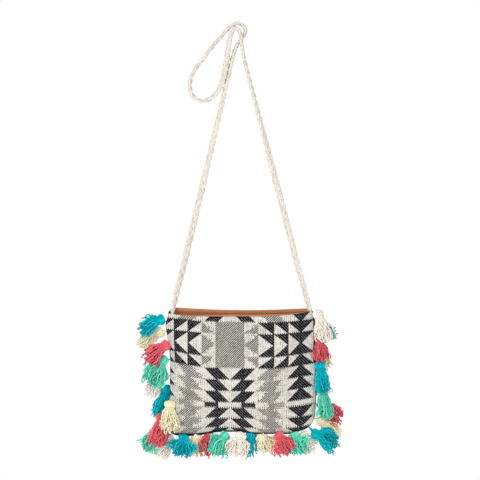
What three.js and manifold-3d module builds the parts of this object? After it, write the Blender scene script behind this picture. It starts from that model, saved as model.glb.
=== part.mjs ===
// Crossbody bag: a small flat pouch of thick woven cotton with a tan lining, a black tape
// sewn into its side and bottom seams that carries thirty yarn tassels, and a flat braided
// cotton strap, hung by the strap from a peg or hook.
// Millimetres, +Z up. The front of the bag faces -Y. The origin is the point of the strap
// that rests on the peg.

import * as THREE from 'three';
import Module from 'manifold-3d';
import { mergeVertices } from 'three/addons/utils/BufferGeometryUtils.js';

// Pouch
const BAG_WIDTH = 250;
const BAG_HEIGHT = 206;
const BAG_SHIFT = 8.4; // the bag's middle hangs this far to the right of the peg
const CORNER_DROP = 470; // from the peg down to the mouth's corners
const BOTTOM_CORNER_RADIUS = 16;
const MOUTH_PULL = 6.5; // the strap pulls each corner of the mouth in this far
const PULL_START = 110; // height above which the side seams run inwards
const CLOTH_THICKNESS = 1.8;
const FRONT_BULGE = 25;
const BACK_BULGE = 15;
const FRONT_MOUTH_DEPTH = 13; // how far the open mouth stands out in front of the seams
const BACK_MOUTH_DEPTH = 7;
const FRONT_MOUTH_SAG = 9; // the front edge of the mouth droops more than the back one
const BACK_MOUTH_SAG = 3;
const BOTTOM_RISE = 90; // height over which the pouch fills out above its bottom seam
const FADE_START = 100; // height above which it flattens towards the mouth
const SIDE_SQUARENESS = 3; // how flat the walls stay before they turn to the side seams
const EDGE_ROUNDNESS = 0.75; // how steeply the walls leave the seams

// Inside of the pouch
const LINING_THICKNESS = 0.8;
const LINING_SLACK = 1.2; // the lining hangs this far inside the cloth
const LINING_INSET = 9.5; // from the seams to the lining's sewn edges
const FACING_THICKNESS = 1;
const FACING_SLACK = 0.8;
const FACING_HEIGHT = 14; // below the cloth's edge
const FACING_SHOW = 3; // it stands this far above the cloth's edge in the middle of the mouth

// Tape in the side and bottom seams
const TAPE_THICKNESS = 1.4;
const TAPE_INSIDE = 2.2;
const TAPE_SHOW = 2.6;

// Braided strap and the flat tails that are sewn in at the mouth's corners
const STRAP_WIDTH = 12;
const STRAP_THICKNESS = 7;
const STRAP_INSET = 6; // from the side seam to the middle of a tail
const STRAP_SIDES = 10;
const RUN_POINTS = 5; // points on each straight run, its end at the bag included
const STEPS_PER_POINT = 2;
const TAIL_WIDTH = 7;
const TAIL_LENGTH = 12;
const TAIL_OVERLAP = 2; // the tail starts this far up inside the braid

// Tassels, evenly spaced along the tape from the left corner round to the right one
const FIRST_TASSEL_DROP = 15; // below the left corner of the mouth
const LAST_TASSEL_DROP = 4; // below the right corner of the mouth
const TASSEL_LENGTH = 44;
const HEAD_WIDTH = 14;
const NECK_WIDTH = 10;
const NECK_DROP = 6.6; // from the head's middle to the binding
const SKIRT_WIDTH = 19;
const CUT_WIDTH = 16; // the cut end is a little narrower than the skirt above it
const CUT_ROUNDING = 4;
const TASSEL_FLATNESS = 0.62; // thickness from front to back as a share of the width
const HEAD_CLEARANCE = 1.5; // from the tape to a head's round side, which its tilt brings nearer
const TASSEL_SIDES = 10;
const HEAD_STEPS = 4;
const HEAD_START = -Math.PI / 6; // where the round of the head begins below its middle

// What is sewn together still keeps this gap
const FIT_GAP = 0.3;

const CLOTH_COLOR = 0x8c8a88;
const LINING_COLOR = 0xb87a4b;
const FACING_COLOR = 0xa8683c;
const TAPE_COLOR = 0x1d1d20;
const STRAP_COLOR = 0xe9ded1;

// Yarn colours, in the order in which they repeat along the tape
const YARNS = [
  { name: 'turquoise', color: 0x0499ad },
  { name: 'straw', color: 0xe8d9a0 },
  { name: 'coral', color: 0xd9505f },
  { name: 'mint', color: 0x4fcf9f },
  { name: 'cream', color: 0xe6d8c8 },
];

// How each tassel hangs, from the top of the left side down, along the bottom, and up the right
// side: its lean from straight down, to the left where positive, and its tilt towards the front.
// A tassel that tilts to the front lies on the front of its neighbours.
const TASSEL_HANGS = [
  [60, 12], [67, -12], [56, 12], [33, 18], [50, -10],
  [30, -14], [-6, 32], [10, 12], [46, -12], [36, -14],
  [52, 14], [16, -12], [14, -12], [46, 12], [2, 12],
  [6, -12], [2, -12], [-12, 12], [-12, 12], [-24, -12],
  [-56, 12], [-44, -12], [-48, -16], [-10, 14], [-14, -16],
  [-9, 14], [-14, -16], [-9, 14], [-62, -12], [-15, 14],
];

// Strap route round the peg: up behind the right run, over the top, down the hanging loop,
// back up, over the peg and down in front. Points as they hang, from left run to right run.
const LOOP_ROUTE = [
  [-7.5, 3, -51], [-0.5, 6, -27], [6.5, 6.4, -17], [12.5, 6, -9], [15.3, 4, -0.5],
  [13, 2, 7.5], [6.8, 0, 12.4], [-2.5, 0, 12.4], [-12.5, 0, 5.8], [-24, 0, -7],
  [-39.5, 0, -26.5], [-56, 0, -48], [-70.5, 0, -67.5], [-76.5, 0, -80], [-77.8, 0, -97],
  [-72, 0, -111], [-59.5, 0, -118.3], [-44.5, 0, -114.5], [-32, 0, -103], [-23.5, 0, -83.5],
  [-17.6, 0, -58], [-14.3, -1, -33], [-11.3, -2, -14.5], [-8, -3, -3], [-1, -4, 3.8],
  [5.2, -5.5, -1.5], [7.2, -6.2, -11.5], [8.6, -6.4, -23], [14, -4, -53],
];

const SEAM_HALF_DEPTH = TAPE_THICKNESS / 2 + FIT_GAP; // from the seam's middle to a panel's inside
const FACING_INSET = STRAP_INSET + TAIL_WIDTH / 2 + FIT_GAP;
const PANEL_COLUMNS = 18;
const PANEL_ROWS = 12;
const ROW_CROWDING = 1.5; // rows lie closer together towards the bottom seam
const SIDE_STEPS = 8;
const CORNER_STEPS = 6;

const wasm = await Module();
wasm.setup();

// A named piece of cloth, cord or yarn in its own matt material.
function piece(name, geometry, color) {
  const material = new THREE.MeshStandardMaterial({ color, roughness: 0.9, metalness: 0 });
  const mesh = new THREE.Mesh(geometry, material);
  mesh.name = name;
  return mesh;
}

// Solids for joining

function solidFrom(geometry) {
  const bare = geometry.clone();
  bare.deleteAttribute('normal');
  bare.deleteAttribute('uv');
  const merged = mergeVertices(bare, 1e-4);
  return new wasm.Manifold(
    new wasm.Mesh({
      numProp: 3,
      vertProperties: new Float32Array(merged.attributes.position.array),
      triVerts: new Uint32Array(merged.index.array),
    }),
  );
}

function geometryFrom(solid) {
  const mesh = solid.getMesh();
  const geometry = new THREE.BufferGeometry();
  geometry.setAttribute('position', new THREE.BufferAttribute(mesh.vertProperties, mesh.numProp));
  geometry.setIndex(new THREE.BufferAttribute(mesh.triVerts, 1));
  geometry.computeVertexNormals();
  return geometry;
}

// Shape of the pouch, in the bag's own frame: x from its middle, z up from its bottom seam

// Half the width of the pouch at a height, with its rounded bottom corners and drawn-in mouth.
function halfWidth(z) {
  const below = Math.max(0, BOTTOM_CORNER_RADIUS - z);
  const cornerReach = Math.sqrt(BOTTOM_CORNER_RADIUS ** 2 - below ** 2);
  const above = Math.max(0, z - PULL_START) / (BAG_HEIGHT - PULL_START);
  return BAG_WIDTH / 2 - BOTTOM_CORNER_RADIUS + cornerReach - MOUTH_PULL * above ** 2;
}

// How full the pouch is at a point: 0 on the seams, 1 where it stands out most.
function fullness(x, z, mouthShare) {
  const across = Math.min(1, Math.abs(x) / halfWidth(z));
  const rise = Math.min(1, Math.max(0, z) / BOTTOM_RISE);
  const fade = THREE.MathUtils.smoothstep(z, FADE_START, BAG_HEIGHT);
  const acrossShare = (1 - across ** SIDE_SQUARENESS) ** EDGE_ROUNDNESS;
  const upShare = (1 - (1 - rise) ** 2) ** EDGE_ROUNDNESS;
  return acrossShare * upShare * (1 - (1 - mouthShare) * fade);
}

const WALLS = {
  front: { side: -1, bulge: FRONT_BULGE, mouth: FRONT_MOUTH_DEPTH, sag: FRONT_MOUTH_SAG },
  back: { side: 1, bulge: BACK_BULGE, mouth: BACK_MOUTH_DEPTH, sag: BACK_MOUTH_SAG },
};

// Distance of a wall's inner cloth face from the seam plane.
function wallDepth(wall, x, z) {
  return SEAM_HALF_DEPTH + wall.bulge * fullness(x, z, wall.mouth / wall.bulge);
}

// Height of the cloth's edge at the mouth, or of an edge that stands above it.
function mouthHeight(wall, x, show = 0) {
  const across = Math.min(1, Math.abs(x) / halfWidth(BAG_HEIGHT));
  return BAG_HEIGHT - (wall.sag - show) * (1 - across ** 2);
}

// A sheet that follows a wall. Its faces lie from and to that far outside the wall's inner
// face, its edges keep the inset from the seams, and it runs from bottom to top of its span.
function sheet(wall, { from, to, inset, span, columns, rows, crowding }) {
  const geometry = new THREE.BoxGeometry(2, 1, 1, columns, 1, rows);
  const position = geometry.attributes.position;
  for (let i = 0; i < position.count; i += 1) {
    const up = (position.getZ(i) + 0.5) ** crowding;
    const across = Math.sin((position.getX(i) * Math.PI) / 2);
    const edge = across * (halfWidth(BAG_HEIGHT) - inset);
    const z = THREE.MathUtils.lerp(span.bottom(edge), span.top(edge), up);
    const x = across * (halfWidth(z) - inset);
    const outside = position.getY(i) * wall.side > 0 ? to : from;
    position.setXYZ(i, x, wall.side * (wallDepth(wall, x, z) + outside), z);
  }
  geometry.computeVertexNormals();
  return geometry;
}

function panel(wall) {
  return sheet(wall, {
    from: 0,
    to: CLOTH_THICKNESS,
    inset: 0,
    span: { bottom: () => 0, top: (x) => mouthHeight(wall, x) },
    columns: PANEL_COLUMNS,
    rows: PANEL_ROWS,
    crowding: ROW_CROWDING,
  });
}

function facing(wall) {
  return sheet(wall, {
    from: -FACING_SLACK - FACING_THICKNESS,
    to: -FACING_SLACK,
    inset: FACING_INSET,
    span: {
      bottom: (x) => mouthHeight(wall, x) - FACING_HEIGHT,
      top: (x) => mouthHeight(wall, x, FACING_SHOW),
    },
    columns: PANEL_COLUMNS,
    rows: 2,
    crowding: 1,
  });
}

function lining(wall) {
  return sheet(wall, {
    from: -LINING_SLACK - LINING_THICKNESS,
    to: -LINING_SLACK,
    inset: LINING_INSET,
    span: { bottom: () => LINING_INSET, top: (x) => mouthHeight(wall, x) - FACING_HEIGHT - FIT_GAP },
    columns: PANEL_COLUMNS,
    rows: PANEL_ROWS,
    crowding: ROW_CROWDING,
  });
}

// Line of the side and bottom seams, from the left corner of the mouth round to the right one.
// A positive offset runs outside the seam.
function seamLine(offset) {
  const side = Array.from({ length: SIDE_STEPS }, (_, i) => {
    const z = THREE.MathUtils.lerp(BAG_HEIGHT, BOTTOM_CORNER_RADIUS, i / SIDE_STEPS);
    return new THREE.Vector2(halfWidth(z) + offset, z);
  });
  const corner = Array.from({ length: CORNER_STEPS + 1 }, (_, i) => {
    const turn = (-Math.PI * i) / (2 * CORNER_STEPS);
    const radius = BOTTOM_CORNER_RADIUS + offset;
    return new THREE.Vector2(
      BAG_WIDTH / 2 - BOTTOM_CORNER_RADIUS + radius * Math.cos(turn),
      BOTTOM_CORNER_RADIUS + radius * Math.sin(turn),
    );
  });
  const right = [...side, ...corner];
  const left = right.map((point) => new THREE.Vector2(-point.x, point.y));
  return [...left, ...right.reverse()];
}

function trimTape() {
  const outline = new THREE.Shape([...seamLine(TAPE_SHOW), ...seamLine(-TAPE_INSIDE).reverse()]);
  const geometry = new THREE.ExtrudeGeometry(outline, {
    depth: TAPE_THICKNESS,
    bevelEnabled: false,
  });
  geometry.rotateX(Math.PI / 2);
  geometry.translate(0, TAPE_THICKNESS / 2, 0);
  return geometry;
}

// A tassel with its head's middle at the origin and its skirt hanging down along -Z: a round
// head over a bound neck and a spreading skirt, pressed flat from front to back.
function tasselBody() {
  const radius = HEAD_WIDTH / 2;
  const skirtDrop = TASSEL_LENGTH - radius;
  const skirt = [
    new THREE.Vector2(0, -skirtDrop),
    new THREE.Vector2(CUT_WIDTH / 2, -skirtDrop),
    new THREE.Vector2(SKIRT_WIDTH / 2, -skirtDrop + CUT_ROUNDING),
    new THREE.Vector2(NECK_WIDTH / 2, -NECK_DROP),
  ];
  const head = Array.from({ length: HEAD_STEPS }, (_, i) => {
    const turn = THREE.MathUtils.lerp(HEAD_START, Math.PI / 2, i / HEAD_STEPS);
    return new THREE.Vector2(radius * Math.cos(turn), radius * Math.sin(turn));
  });
  const crown = new THREE.Vector2(0, radius);
  const geometry = new THREE.LatheGeometry([...skirt, ...head, crown], TASSEL_SIDES);
  geometry.rotateX(Math.PI / 2);
  geometry.scale(1, TASSEL_FLATNESS, 1);
  return geometry;
}

// Tassels hang on the tape's outer edge, in two layers: heads that tilt to the front sit on its
// front half, the others on its back half.
function addTassels(bag) {
  const seam = new THREE.Path(seamLine(0));
  const seamLength = seam.getLength();
  const run = seamLength - FIRST_TASSEL_DROP - LAST_TASSEL_DROP;
  const headDepth = (HEAD_WIDTH / 2) * TASSEL_FLATNESS;
  const layerDepth = headDepth + FIT_GAP / 2;
  const bite = (layerDepth - TAPE_THICKNESS / 2) / headDepth;
  const reach = TAPE_SHOW + HEAD_CLEARANCE + (HEAD_WIDTH / 2) * Math.sqrt(1 - bite ** 2);
  const body = tasselBody();
  TASSEL_HANGS.forEach(([lean, tilt], index) => {
    const along = FIRST_TASSEL_DROP + (run * index) / (TASSEL_HANGS.length - 1);
    const seat = seam.getPointAt(along / seamLength);
    const heading = seam.getTangentAt(along / seamLength);
    const outward = new THREE.Vector2(heading.y, -heading.x);
    const yarn = YARNS[index % YARNS.length];
    const number = String(index + 1).padStart(2, '0');
    const tassel = piece(`tassel_${number}_${yarn.name}`, body, yarn.color);
    tassel.position.set(
      seat.x + outward.x * reach,
      -Math.sign(tilt) * layerDepth,
      seat.y + outward.y * reach,
    );
    tassel.rotation.order = 'YXZ';
    tassel.rotation.y = THREE.MathUtils.degToRad(lean);
    tassel.rotation.x = THREE.MathUtils.degToRad(-tilt);
    bag.add(tassel);
  });
}

// The strap, in the peg's frame

// Smooth route through its points, stepped evenly from point to point so that the tight bends
// at the peg, where the points lie close together, get as many steps as the long straight runs.
class StrapRoute extends THREE.CatmullRomCurve3 {
  getPointAt(share, target) {
    return this.getPoint(share, target);
  }

  getTangentAt(share, target) {
    return this.getTangent(share, target);
  }
}

// Where a strap end goes into the mouth's corner. The run leans towards the loop, so its end
// is lifted by the dip of its lower edge.
function strapFoot(side) {
  const x = BAG_SHIFT + side * (halfWidth(BAG_HEIGHT) - STRAP_INSET);
  const corner = new THREE.Vector3(x, 0, -CORNER_DROP);
  const loopEnd = new THREE.Vector3(...LOOP_ROUTE.at(side < 0 ? 0 : -1));
  const lean = loopEnd.sub(corner).normalize().x;
  corner.z += FIT_GAP + (STRAP_THICKNESS / 2) * Math.abs(lean);
  return corner;
}

// Evenly spaced points of a straight run from a foot towards the loop.
function runPoints(foot, loopEnd) {
  return Array.from({ length: RUN_POINTS }, (_, i) => foot.clone().lerp(loopEnd, i / RUN_POINTS));
}

function strapTail(side) {
  const foot = strapFoot(side);
  const length = TAIL_LENGTH + TAIL_OVERLAP;
  const tail = new THREE.BoxGeometry(TAIL_WIDTH, TAPE_THICKNESS, length);
  return tail.translate(foot.x, 0, foot.z + TAIL_OVERLAP - length / 2);
}

function strap() {
  const loop = LOOP_ROUTE.map((point) => new THREE.Vector3(...point));
  const left = runPoints(strapFoot(-1), loop[0]);
  const right = runPoints(strapFoot(1), loop[loop.length - 1]).reverse();
  const route = new StrapRoute([...left, ...loop, ...right]);
  const section = Array.from({ length: STRAP_SIDES }, (_, i) => {
    const turn = (2 * Math.PI * i) / STRAP_SIDES;
    return new THREE.Vector2((STRAP_WIDTH / 2) * Math.cos(turn), (STRAP_THICKNESS / 2) * Math.sin(turn));
  });
  const braid = new THREE.ExtrudeGeometry(new THREE.Shape(section), {
    steps: (route.points.length - 1) * STEPS_PER_POINT,
    bevelEnabled: false,
    extrudePath: route,
  });
  const joined = solidFrom(braid).add(solidFrom(strapTail(-1))).add(solidFrom(strapTail(1)));
  return geometryFrom(joined);
}

// Assembly

const crossbodyBag = new THREE.Group();
const bag = new THREE.Group();
bag.position.set(BAG_SHIFT, 0, -CORNER_DROP - BAG_HEIGHT);
crossbodyBag.add(bag);

for (const [name, wall] of Object.entries(WALLS)) {
  bag.add(piece(`${name}_panel`, panel(wall), CLOTH_COLOR));
  bag.add(piece(`${name}_facing`, facing(wall), FACING_COLOR));
  bag.add(piece(`${name}_lining`, lining(wall), LINING_COLOR));
}
bag.add(piece('trim_tape', trimTape(), TAPE_COLOR));
addTassels(bag);
crossbodyBag.add(piece('strap', strap(), STRAP_COLOR));

export default crossbodyBag;
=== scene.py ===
"""Looks of a small woven crossbody bag that hangs by its braided strap.

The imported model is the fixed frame. Around it this add-on builds the woven panels, the tan facings
and lining, the black seam tape, thirty yarn tassels, the braided strap, the stage and the camera.
Metres, +Z up. The front of the bag faces -Y, and the origin is where the strap hangs.
"""

import math
from types import SimpleNamespace

import bmesh
import bpy
import numpy as np
from bpy.props import FloatProperty, FloatVectorProperty, IntProperty, PointerProperty
from mathutils import Matrix, Vector, noise


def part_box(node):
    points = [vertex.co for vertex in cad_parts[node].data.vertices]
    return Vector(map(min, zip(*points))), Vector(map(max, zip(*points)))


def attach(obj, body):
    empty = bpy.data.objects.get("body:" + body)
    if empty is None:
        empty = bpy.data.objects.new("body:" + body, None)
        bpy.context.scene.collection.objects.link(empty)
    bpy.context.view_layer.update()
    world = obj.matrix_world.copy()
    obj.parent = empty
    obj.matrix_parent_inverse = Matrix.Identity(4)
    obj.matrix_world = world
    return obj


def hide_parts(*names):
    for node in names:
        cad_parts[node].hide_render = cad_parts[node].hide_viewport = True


bl_info = {
    "name": "Crossbody Bag",
    "version": (1, 0, 0),
    "blender": (4, 5, 0),
    "location": "3D View > Sidebar > Crossbody Bag",
    "description": "Woven pouch bag with a tassel trim and a braided strap",
    "category": "Object",
}

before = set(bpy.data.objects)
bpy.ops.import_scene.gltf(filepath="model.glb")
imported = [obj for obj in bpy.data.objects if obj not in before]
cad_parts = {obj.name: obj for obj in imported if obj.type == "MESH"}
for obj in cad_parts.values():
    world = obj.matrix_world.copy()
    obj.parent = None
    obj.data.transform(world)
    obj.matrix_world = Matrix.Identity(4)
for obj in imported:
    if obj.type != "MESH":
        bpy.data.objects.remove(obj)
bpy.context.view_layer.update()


BODY = "root"
MM = 0.001
UP = np.array([0.0, 0.0, 1.0])
FRONT_TO_BACK = np.array([0.0, 1.0, 0.0])

# Camera and stage
PIXEL = 1.68 * MM  # size of a photograph pixel at the bag
FRAME_PIXELS = 480
HANG_PIXEL = (236.5, 30.3)  # where the strap hangs, in the photograph
CAMERA_DISTANCE = 2.2
CAMERA_PITCH = math.radians(1.2)
CAMERA_LIFT = 0.8 * MM  # evens out the tilt between the top and the bottom of the picture
SENSOR_WIDTH = 36.0
FLOOR_DROP = 1.5  # a peg's height above the floor
AMBIENT = 0.5  # light from all round, against the white that the camera sees
FLOOR_HALF = 8.0
FLOOR_GLOW = (0.34, 0.34, 0.34)  # keeps the floor pale where the lamps do not reach it
FLOOR_FADE = (1.2, 3.2)  # between these distances the floor goes over into the white background
# Place, width in metres and power in watts of each lamp
LAMPS = {
    "key": ((-1.3, -2.3, 0.8), 1.6, 47),
    "fill": ((1.1, -2.5, 0.1), 1.5, 22),
    "back": ((0.9, 2.4, 0.7), 1.6, 34),
}

# Shape of the pouch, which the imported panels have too
FRONT_LOW, FRONT_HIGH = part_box("front_panel")
BACK_LOW, BACK_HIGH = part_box("back_panel")
BAG_WIDTH = FRONT_HIGH.x - FRONT_LOW.x
BAG_HEIGHT = FRONT_HIGH.z - FRONT_LOW.z
BAG_MIDDLE = (FRONT_HIGH.x + FRONT_LOW.x) / 2
BAG_BOTTOM = FRONT_LOW.z
SEAM_DEPTH = BACK_LOW.y
CLOTH = 1.8 * MM
CORNER_RADIUS = 16 * MM
MOUTH_PULL = 6.5 * MM  # the strap draws each corner of the mouth in by this much
PULL_START = 110 * MM
BOTTOM_RISE = 90 * MM  # height over which the walls bulge out
FADE_START = 100 * MM  # and from which they close again towards the mouth
SIDE_SQUARENESS = 3  # powers that shape the bulge across and at its edges
EDGE_ROUNDNESS = 0.75
# For each wall: its side, its bulge in the middle and at the mouth, how far the edge of its mouth sags,
# how far the edge's left and right corners are lifted, and how suddenly
WALLS = {
    "front": SimpleNamespace(
        side=-1, bulge=-FRONT_LOW.y - SEAM_DEPTH - CLOTH, mouth=13 * MM, sag=9 * MM, seed=3,
        corner_lift=(-4.5 * MM, 0.0), corner_power=(6.0, 3.0),
    ),
    "back": SimpleNamespace(
        side=1, bulge=BACK_HIGH.y - SEAM_DEPTH - CLOTH, mouth=7 * MM, sag=3 * MM, seed=11,
        corner_lift=(5.5 * MM, 4.0 * MM), corner_power=(1.8, 2.0),
    ),
}
BROAD_WAVES = (18, 13)  # unevenness of the cloth: waves in a metre, across and up
SEAM_GATHERS = (70, 22)  # the same for the gathers along the seams
GATHER_SEED = 5
GATHER_SHARE = 0.9  # their height against the broad waves
GATHER_REACH = 18 * MM
EDGE_ROLL = 2.4 * MM  # the cloth's folded edges are rounded over this width
THIN_ROLL = 1.2 * MM  # and those of the thinner strips inside over this one
EDGE_THINNEST = 0.12  # share of the thickness that is left at the very edge
LINING_INSET = 9.5 * MM  # distance from the seams
LINING_LAYER = (-2 * MM, -1.2 * MM)  # inner and outer face, from the inner face of the woven cloth
FACING_INSET = 5.8 * MM
FACING_LAYER = (-1.8 * MM, -0.8 * MM)
FACING_HEIGHT = 14 * MM
FACING_SHOW = 3 * MM  # it stands this far above the woven cloth's edge
LIP_SHADE = (2.5 * MM, 8 * MM)  # between these depths under its edge painted shade darkens a facing
LIP_SHADE_STRENGTH = 0.62  # by this much
CORNER_SHADE = 14 * MM  # and over this width from the mouth's left corner, painted shade darkens it
CORNER_SHADE_STRENGTH = 0.9
CORNER_START = (-2 * MM, 4 * MM)  # from between these depths under the edge
STITCH_DROP = 5.5 * MM  # the stitches run this far below the facing's edge
STITCH_PITCH = 3.4 * MM
STITCH_LENGTH = 2.6 * MM
STITCH_THREAD = 0.4 * MM
STITCH_MARGIN = 2 * MM
STITCH_POINTS = 120
TAPE_INSIDE = 2.2 * MM  # width of the tape between the panels
TAPE_SHOW = 2.6 * MM  # and outside the seam
TAPE_TUCK = 2.4 * MM  # the tape is sewn in deeper along the left side
TAPE_TUCK_START = (8 * MM, 30 * MM)  # from these heights
TAPE_TUCK_END = 8 * MM  # up to this far below the mouth
TAPE_EXTRA = 1.4 * MM  # it stands out further under the left half
TAPE_EXTRA_START = (-40 * MM, -60 * MM)
TAPE_EXTRA_TOP = 14 * MM
TAPE_CORNER = 1.6 * MM  # and hides more at the right bottom corner
TAPE_CORNER_START = (80 * MM, 105 * MM)
TAPE_CORNER_TOP = (100 * MM, 60 * MM)
TAPE_THICKNESS = 1.4 * MM
TAPE_SIDES = 14
TAPE_SQUARENESS = 0.5  # power that squares its rounded section
TAPE_TIP = 0.06  # share of its section that is left at its ends
TAPE_END = 5 * MM  # its two ends are rounded off over this length
TAPE_RIPPLES = [(0.35 * MM, 9 * MM, 0), (0.25 * MM, 3.7 * MM, 1)]  # height, length and start of its waves
TAPE_SWAY = 0.8  # how much of that goes to the front and the back
# The hanging bottom seam waves: how high, where and over what reach
BOTTOM_WAVES = [(4.2 * MM, -24 * MM, 36 * MM), (-1.8 * MM, -92 * MM, 30 * MM)]
WAVE_FADE = 60 * MM  # height at which the waves have died away
CORNER_TUCK = (7 * MM, 27 * MM)  # how far the right bottom corner is drawn in each way, and reach
LEFT_BULGE = (6 * MM, 184 * MM, 20 * MM)  # how far the left side stands out, height and reach
LEFT_DRAW = 5 * MM  # and how far it is drawn in lower down
LEFT_DRAW_HEIGHTS = (125 * MM, 165 * MM)
LEFT_DRAW_LOWEST = 0.5  # share of that at the bottom seam
LEFT_REACH = 24 * MM

# Weave of the panels. The sizes of its rows, columns, bars and cells are in millimetres of cloth
WEAVE_AXIS = -19.5 * MM  # the pattern is mirrored about this line, from the bag's middle
WEAVE_TOP = 187.8 * MM  # height of the line from which the pattern's rows are counted
COLUMN = 23.8
COLUMNS = 5
UPPER_ROW = 19.2
UPPER_ROWS = 4
LOWER_ROW = 19.2
LOWER_ROWS = 3
BAR_HALF = 4.6  # half the height of the bar about which the lower block is mirrored
CELL_WIDTH = 1.85  # of one rib and one pick
CELL_HEIGHT = 1.5
FINE_CELL = 0.8  # steps of the slanting edges
TOOTH = 1.7  # every second column of the weave ends this much higher
RAGGED = 7.0  # how far the edges between grey and cream stray
TRIANGLE_EDGE = 0.91  # a black triangle begins where its shares of column and row add up to this
BAND_SLANT = 0.81  # columns that a black band moves across in one row
BAND_WIDTH = 0.98
POINT_SLANT = 0.88  # the same for the black points where the pattern is mirrored again
POINT_WIDTH = 0.14
GREY_BAND = (1.84, 3.07)  # where a grey band begins and ends, in columns
GREY_END_SLANT = 0.67
TWILL_PITCH = 3.8
FLECK_PITCH = 4.8
FLECK_TONE = (0.36, 0.36, 0.38)  # pale lint on the black yarns
FLECK_SHARPNESS = 6
TWILL_SHARE = 0.68  # cream in the grey twill
TWILL_WEAR = (0.66, 0.6)  # least, and what wear adds
TWILL_SPECK = (0.75, 0.5)  # least, and what the single picks add
LINT_WEAR = (0.1, 0.7)
LINT_SPECK = 1.6
GAP_TONE = 1.2  # painted shade in the gaps between the pale picks, and in the grooves between the ribs
GROOVE_TONE = 0.08
GAP_SHADE = 0.14
FUZZ_START = 0.42  # soft dark fuzz on the pale yarns
FUZZ_TONE = 1.4
SPECK_TONE = 0.38  # pale picks of different tone
SPECK_SHADE = 0.45
PATCH_START = 0.45  # broad darker patches
PATCH_TONE = 0.5
PATCH_SHADE = 1.5
CLOTH_FUZZ, CLOTH_WEAR, CLOTH_PATCHES = 700, 260, 30  # scales of the cloth's unevenness
CLOTH_RELIEF = 0.5 * MM
RELIEF_SHARES = (0.45, 0.35, 0.2)  # of the ribs, the picks and the twill
ROW_SLANT = 0.02  # the rows fall a little towards the right
ROW_RISE = (6.5 * MM, 2.0 * MM)  # how far the rows rise at the side seams, and what is added lower down
RISE_START = 52 * MM  # from this far beside the bag's middle
RISE_POWER = 1.3
WEAVE_DRIFT = (4 * MM, 67 * MM, 24 * MM)  # how far the upper block is drawn outwards, place and reach
DRIFT_END = 8 * MM  # which dies away over this height at the block's end

# Ribs in millimetres, scales of the noise and depths of the relief of the other finishes
FACING_RIB, LINING_RIB, TAPE_RIB = 1.3, 0.9, 0.9
TAN_PATCHES, TAN_GRAIN, TAN_RELIEF = 60, 1500, 0.15 * MM
TAN_TONES_AND_SHADES = (0.72, 0.5, 0.3)  # tones of the patches, and of the painted shade in the grooves and inside the mouth
TAPE_FUZZ, TAPE_RELIEF = 1200, 0.2 * MM
TAPE_PALE = (0.05, 0.05, 0.055)
YARN_FUZZ, YARN_RELIEF = 1400, 0.25 * MM
PLY_TONE, FUZZ_SHARE, PATCH_SHARE = 0.22, 0.3, 0.2  # what darkens a yarn: painted shade in the grooves between its plies, and random fuzz and patches
THREAD_TWIST, THREAD_RELIEF = 2500, 0.05 * MM
THREAD_SHADE = 0.55  # of the facing's colour

# Braided strap
RUN_POINTS = 5  # points of each straight run
ROUTE_STEPS = 24  # steps between two points, before they are spaced evenly
ROUTE_SPACING = 2.4 * MM
TAIL = 12 * MM  # length of each end that is sewn in between the panels
TAIL_TAPER = (0.4, 1.9)  # the braid is squeezed between these shares of that length
TAIL_WIDTH = 0.55  # to this share of its width
TAIL_DEPTH = 0.3  # and of its thickness
BUNDLE_REACH = 1.6  # yarns lie this many of their radii from the middle of their strand
BUNDLE_FLATNESS = 0.55
BUNDLE_TURN = 1.7  # periods of the braid in which a strand turns once
STRAND_LOOSENESS = 0.25
SWAY_POWER = 0.7  # the strands stay a little longer at the braid's edges
STRAP_TONES = (0.6, 1.0)  # of its yarns
STRAP_PLY = 5 * MM  # length of a turn of the plies
STRAP_PATCHES = 90
STRAP_DEPTH = 0.66  # tone of its darkest yarns against its lightest
STRAP_SIDES = 6
STRAP_SEED = 7
# Where the strap leaves the left and the right corner of the mouth
STRAP_FEET = {-1: (-106.6 * MM, -1.5 * MM, -468.9 * MM), 1: (122.3 * MM, -0.5 * MM, -468.8 * MM)}
# The strap's middle line over the peg and round its loop, in millimetres from where it hangs
LOOP_ROUTE_MM = [
    (-7.5, 3, -51), (-0.5, 6, -27), (6.5, 6.4, -17), (12.5, 6, -9), (15.3, 4, -0.5),
    (13, 2, 5.5), (7.2, 0, 10.2), (-1, 0, 10.9), (-11, 0, 5), (-23.4, 0, -8),
    (-39.5, 0, -26.5), (-56, 0, -48), (-70.5, 0, -67.5), (-76.5, 0, -80), (-77.8, 0, -97),
    (-72, 0, -111), (-59.5, 0, -118.3), (-44.5, 0, -114.5), (-32, 0, -103), (-23.5, 0, -83.5),
    (-17.6, 0, -58), (-14.3, -1, -33), (-11.3, -2, -14.5), (-8, -3, -4), (-1, -4, 2.6),
    (5, -5.5, -2.5), (7.2, -6.2, -11.5), (8.6, -6.4, -23), (14, -4, -53),
]
# How far the flat braid is turned from facing the front, in degrees, at places along the strap
STRAP_TWIST = [
    (0.0, -56), (0.14, 0), (0.21, 31), (0.27, 58), (0.33, 72), (0.36, 90), (0.40, 90), (0.47, 84),
    (0.53, 60), (0.57, 28), (0.60, 40), (0.635, 90), (0.66, 84), (0.70, 70), (0.75, 62), (0.81, 25),
    (0.86, 0), (0.91, -30), (1.0, -54),
]

# Tassels
YARNS = ("turquoise", "straw", "coral", "mint", "cream")
YARN_DEPTHS = (0.34, 0.72, 0.45, 0.42, 0.85)  # tone of each colour's darkest yarns against its lightest, which is also how deep the painted shade of a tassel's inner yarns goes
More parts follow.
